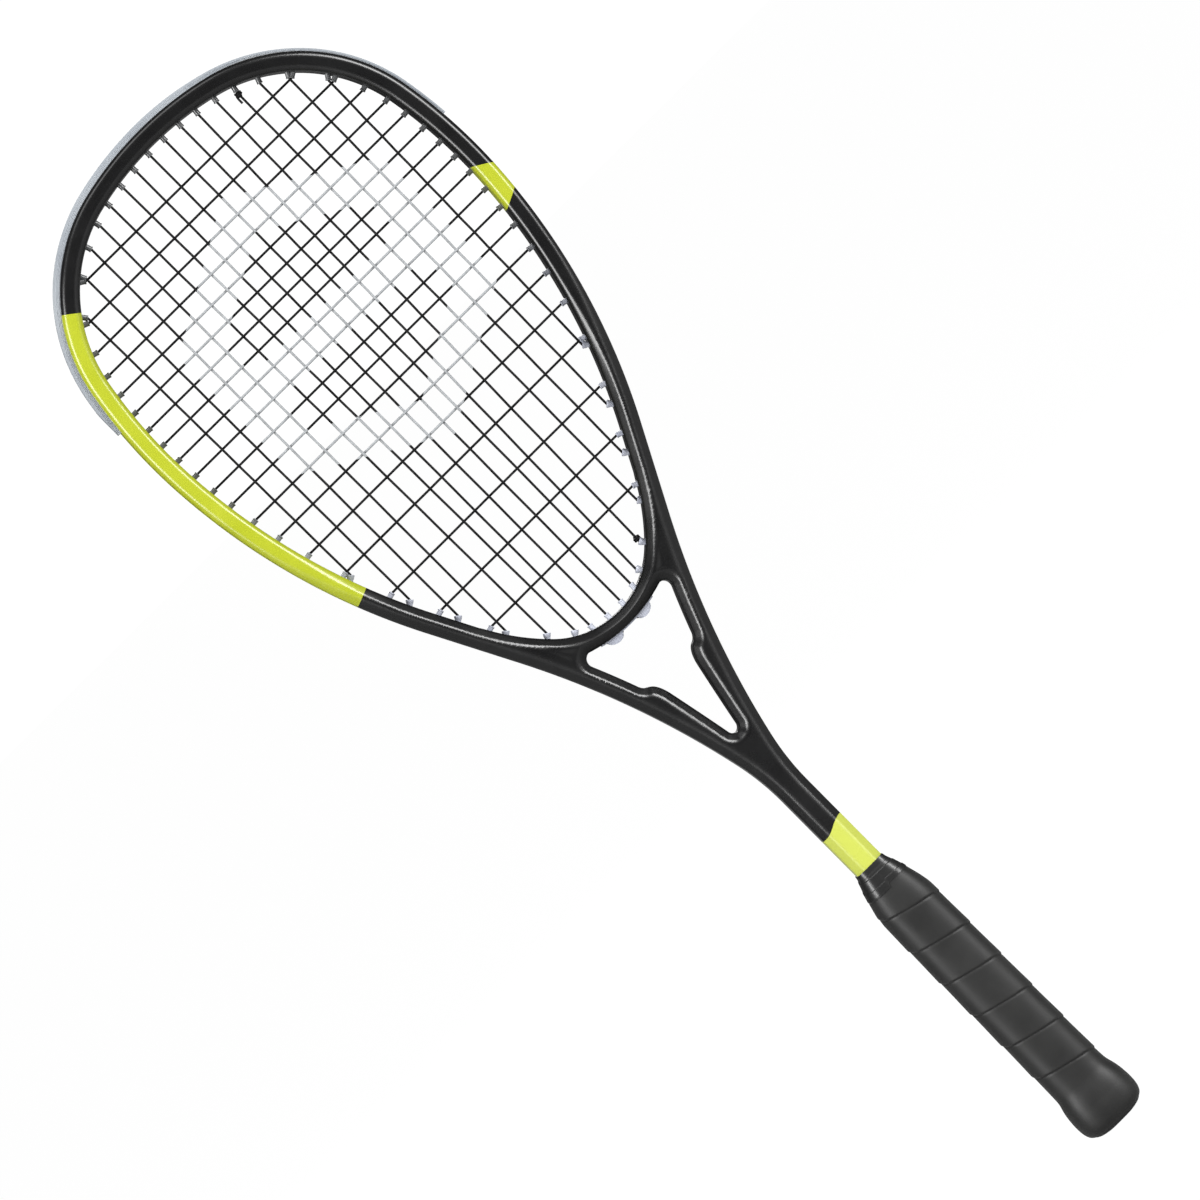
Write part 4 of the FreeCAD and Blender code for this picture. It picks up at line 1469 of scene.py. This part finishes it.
cushion = {
    "dark": (0.0045, 0.0045, 0.0043, 1),
    "light": (0.0080, 0.0080, 0.0076, 1),
    "seam": (0.006, 0.006, 0.006, 1),
    "seamSharp": 38.0,
    "worn": (0.07, 0.07, 0.066, 1),
    "wear": (0.35, 220.0),
    "grain": (1500.0, 60.0),
    "pebble": 2400.0,
    "pebbleShare": 0.5,
    "bump": (0.16, 0.0002),
    "roughness": (0.48, 0.60),
}


def makeGripMaterial():
    material, tree, shader, position = startMaterial("gripCushion", {
        "Roughness": 0.5, "Specular IOR Level": 0.38, "Sheen Weight": 0.05,
    })
    attribute = tree.nodes.new("ShaderNodeAttribute")
    attribute.attribute_name = "turnShare"
    turn = attribute.outputs["Fac"]
    nearSeam = mathNode(tree, "MINIMUM", turn, mathNode(tree, "SUBTRACT", 1.0, turn))
    away = mathNode(tree, "MULTIPLY", nearSeam, cushion["seamSharp"], clamp=True)
    seam = mathNode(tree, "SUBTRACT", 1.0, away)
    grainHeight, tone, share = grainOf(tree, position, cushion)
    colour = mixColour(tree, share, cushion["dark"], cushion["light"])
    colour = mixColour(tree, seam, colour, cushion["seam"])
    pebble = useGroup(tree, "pebble", Position=position, Scale=cushion["pebble"])
    height = mathNode(tree, "MULTIPLY", pebble.outputs["Height"], cushion["pebbleShare"])
    height = mathNode(tree, "ADD", height, grainHeight)
    setSurface(tree, shader, position, cushion, colour, tone, height)
    return material


plainFinishes = {
    "tapeFilm": {
        "dark": (0.006, 0.006, 0.006, 1),
        "light": (0.007, 0.007, 0.007, 1),
        "worn": (0.034, 0.034, 0.034, 1),
        "grain": (260.0, 260.0 / 14),
        "bump": (0.06, 0.0002),
        "roughness": (0.30, 0.42),
    },
    "capPlastic": {
        "dark": (0.012, 0.012, 0.012, 1),
        "light": (0.018, 0.018, 0.018, 1),
        "worn": (0.056, 0.056, 0.056, 1),
        "grain": (1200.0, 1200.0 / 14),
        "bump": (0.15, 0.0002),
        "roughness": (0.42, 0.55),
    },
    "handleFoam": {
        "dark": (0.62, 0.55, 0.36, 1),
        "light": (0.70, 0.63, 0.43, 1),
        "worn": (1.0, 1.0, 0.88, 1),
        "grain": (700.0, 700.0 / 14),
        "bump": (0.5, 0.0002),
        "roughness": (0.8, 0.95),
    },
    "stapleSteel": {
        "dark": (0.50, 0.50, 0.51, 1),
        "light": (0.60, 0.60, 0.61, 1),
        "worn": (1.0, 1.0, 1.0, 1),
        "grain": (1800.0, 1800.0 / 14),
        "bump": (0.1, 0.0002),
        "roughness": (0.25, 0.4),
        "metal": 1.0,
    },
}


def makePlain(name):
    finish = dict(plainFinishes[name], wear=(0.3, 400.0))
    material, tree, shader, position = startMaterial(name, {"Metallic": finish.get("metal", 0.0)})
    height, tone, share = grainOf(tree, position, finish)
    colour = mixColour(tree, share, finish["dark"], finish["light"])
    setSurface(tree, shader, position, finish, colour, tone, height)
    return material


materials = {
    "paint": makePaint(),
    "string": makeString(),
    "bumper": makeBumperPlastic(),
    "grommet": makeGrommetPlastic(),
    "grip": makeGripMaterial(),
    "tape": makePlain("tapeFilm"),
    "cap": makePlain("capPlastic"),
    "foam": makePlain("handleFoam"),
    "staple": makePlain("stapleSteel"),
}
print("materials made")

buildFrame(materials["paint"])
print("frame built")
buildBumper(materials["bumper"], materials["grommet"])
buildSideStrip("rightStrip", 1, "right_grommet_strip", materials["grommet"])
buildSideStrip("leftStrip", -1, "left_grommet_strip", materials["grommet"])
buildThroatStrip(materials["grommet"])
print("bumper and strips built")
buildStrings(materials["string"])
print("strings built")
buildGrip(materials["grip"])
buildTape(materials["tape"])
buildCap(materials["cap"])
print("handle built")

for node, key in (("front_pallet", "foam"), ("back_pallet", "foam"), ("butt_cap_staples", "staple")):
    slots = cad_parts[node].material_slots
    for slot in slots:
        slot.material = materials[key]
    if not slots:
        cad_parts[node].data.materials.append(materials[key])

studio = {
    "floor": 60.0,
    "floorTone": (0.30, 0.30, 0.30, 1),
    "floorSeen": 1.15,
    "floorSeenShare": 0.86,
    "worldFill": 0.07,
    "worldSeen": 1.05,
    "cameraDistance": 4.5,
    "frameWidth": 0.5874,
    "target": (-0.00198, 0.0, 0.36137),
    "cameraTurn": 4.0,
    "cameraHeight": 0.55,
    "cameraUp": (0.7056, 0.0, 0.7086),      # the racket leans a little in the view
    "film": 36.0,
    # name: place, aim, size, power
    "lights": {
        "leftSoft": ((-2.4, -2.0, 1.35), (0, 0, 0.42), (1.3, 2.4), 166.0),
        "rightSoft": ((2.4, -2.0, 1.35), (0, 0, 0.40), (1.2, 2.4), 176.0),
        "topSoft": ((0.0, -1.4, 3.2), (0, 0, 0.40), (2.0, 1.2), 30.0),
        "backSoft": ((0.6, 3.0, 2.0), (0, 0, 0.40), (2.0, 1.6), 60.0),
    },
}


def buildFloor():
    bm = bmesh.new()
    bmesh.ops.create_grid(bm, x_segments=2, y_segments=2, size=studio["floor"])
    mesh = bpy.data.meshes.new("studioFloor")
    bm.to_mesh(mesh)
    bm.free()
    floor = bpy.data.objects.new("studioFloor", mesh)
    bpy.context.scene.collection.objects.link(floor)
    material = bpy.data.materials.new("paleFloor")
    material.use_nodes = True
    tree = material.node_tree
    shader = tree.nodes["Principled BSDF"]
    shader.inputs["Base Color"].default_value = studio["floorTone"]
    shader.inputs["Roughness"].default_value = 0.9
    shader.inputs["Specular IOR Level"].default_value = 0.0
    glow = tree.nodes.new("ShaderNodeEmission")
    path = tree.nodes.new("ShaderNodeLightPath")
    blend = tree.nodes.new("ShaderNodeMixShader")
    share = tree.nodes.new("ShaderNodeMath")
    share.operation = "MULTIPLY"
    share.inputs[1].default_value = studio["floorSeenShare"]
    link(tree, path.outputs["Is Camera Ray"], share.inputs[0])
    link(tree, share.outputs[0], blend.inputs[0])
    link(tree, shader.outputs[0], blend.inputs[1])
    link(tree, glow.outputs[0], blend.inputs[2])
    link(tree, blend.outputs[0], tree.nodes["Material Output"].inputs["Surface"])
    glow.inputs["Color"].default_value = (1, 1, 1, 1)
    glow.inputs["Strength"].default_value = studio["floorSeen"]
    mesh.materials.append(material)


def buildWorld():
    world = bpy.data.worlds.new("studioWorld")
    bpy.context.scene.world = world
    world.use_nodes = True
    tree = world.node_tree
    fill = tree.nodes["Background"]
    fill.inputs["Color"].default_value = (1, 1, 1, 1)
    fill.inputs["Strength"].default_value = studio["worldFill"]
    seen = tree.nodes.new("ShaderNodeBackground")
    seen.inputs["Color"].default_value = (1, 1, 1, 1)
    seen.inputs["Strength"].default_value = studio["worldSeen"]
    path = tree.nodes.new("ShaderNodeLightPath")
    blend = tree.nodes.new("ShaderNodeMixShader")
    link(tree, path.outputs["Is Camera Ray"], blend.inputs[0])
    link(tree, fill.outputs[0], blend.inputs[1])
    link(tree, seen.outputs[0], blend.inputs[2])
    link(tree, blend.outputs[0], tree.nodes["World Output"].inputs["Surface"])


def buildLights():
    for name, (place, aim, size, power) in studio["lights"].items():
        light = bpy.data.lights.new(name, "AREA")
        light.shape = "RECTANGLE"
        light.size, light.size_y = size
        light.energy = power
        lamp = bpy.data.objects.new(name, light)
        lamp.location = place
        lamp.rotation_euler = (Vector(aim) - Vector(place)).to_track_quat("-Z", "Y").to_euler()
        lamp.visible_camera = False
        bpy.context.scene.collection.objects.link(lamp)


def buildCamera():
    camera = bpy.data.objects.new("studioCamera", bpy.data.cameras.new("studioCamera"))
    bpy.context.scene.collection.objects.link(camera)
    distance = studio["cameraDistance"]
    target = Vector(studio["target"])
    turn = math.radians(studio["cameraTurn"])
    place = Vector((-distance * math.sin(turn), -distance * math.cos(turn), studio["cameraHeight"]))
    back = (place - target).normalized()
    up = Vector(studio["cameraUp"])
    up = (up - back * up.dot(back)).normalized()
    right = up.cross(back)
    camera.matrix_world = Matrix((
        (right.x, up.x, back.x, place.x),
        (right.y, up.y, back.y, place.y),
        (right.z, up.z, back.z, place.z),
        (0, 0, 0, 1),
    ))
    camera.data.sensor_width = studio["film"]
    camera.data.lens = studio["film"] * (place - target).length / studio["frameWidth"]
    camera.data.clip_start = 0.1
    camera.data.clip_end = 200.0
    bpy.context.scene.camera = camera


buildFloor()
buildWorld()
buildLights()
buildCamera()
bpy.context.scene.view_settings.view_transform = "Standard"
bpy.context.scene.view_settings.look = "None"
print("studio set")

bpy.context.view_layer.update()
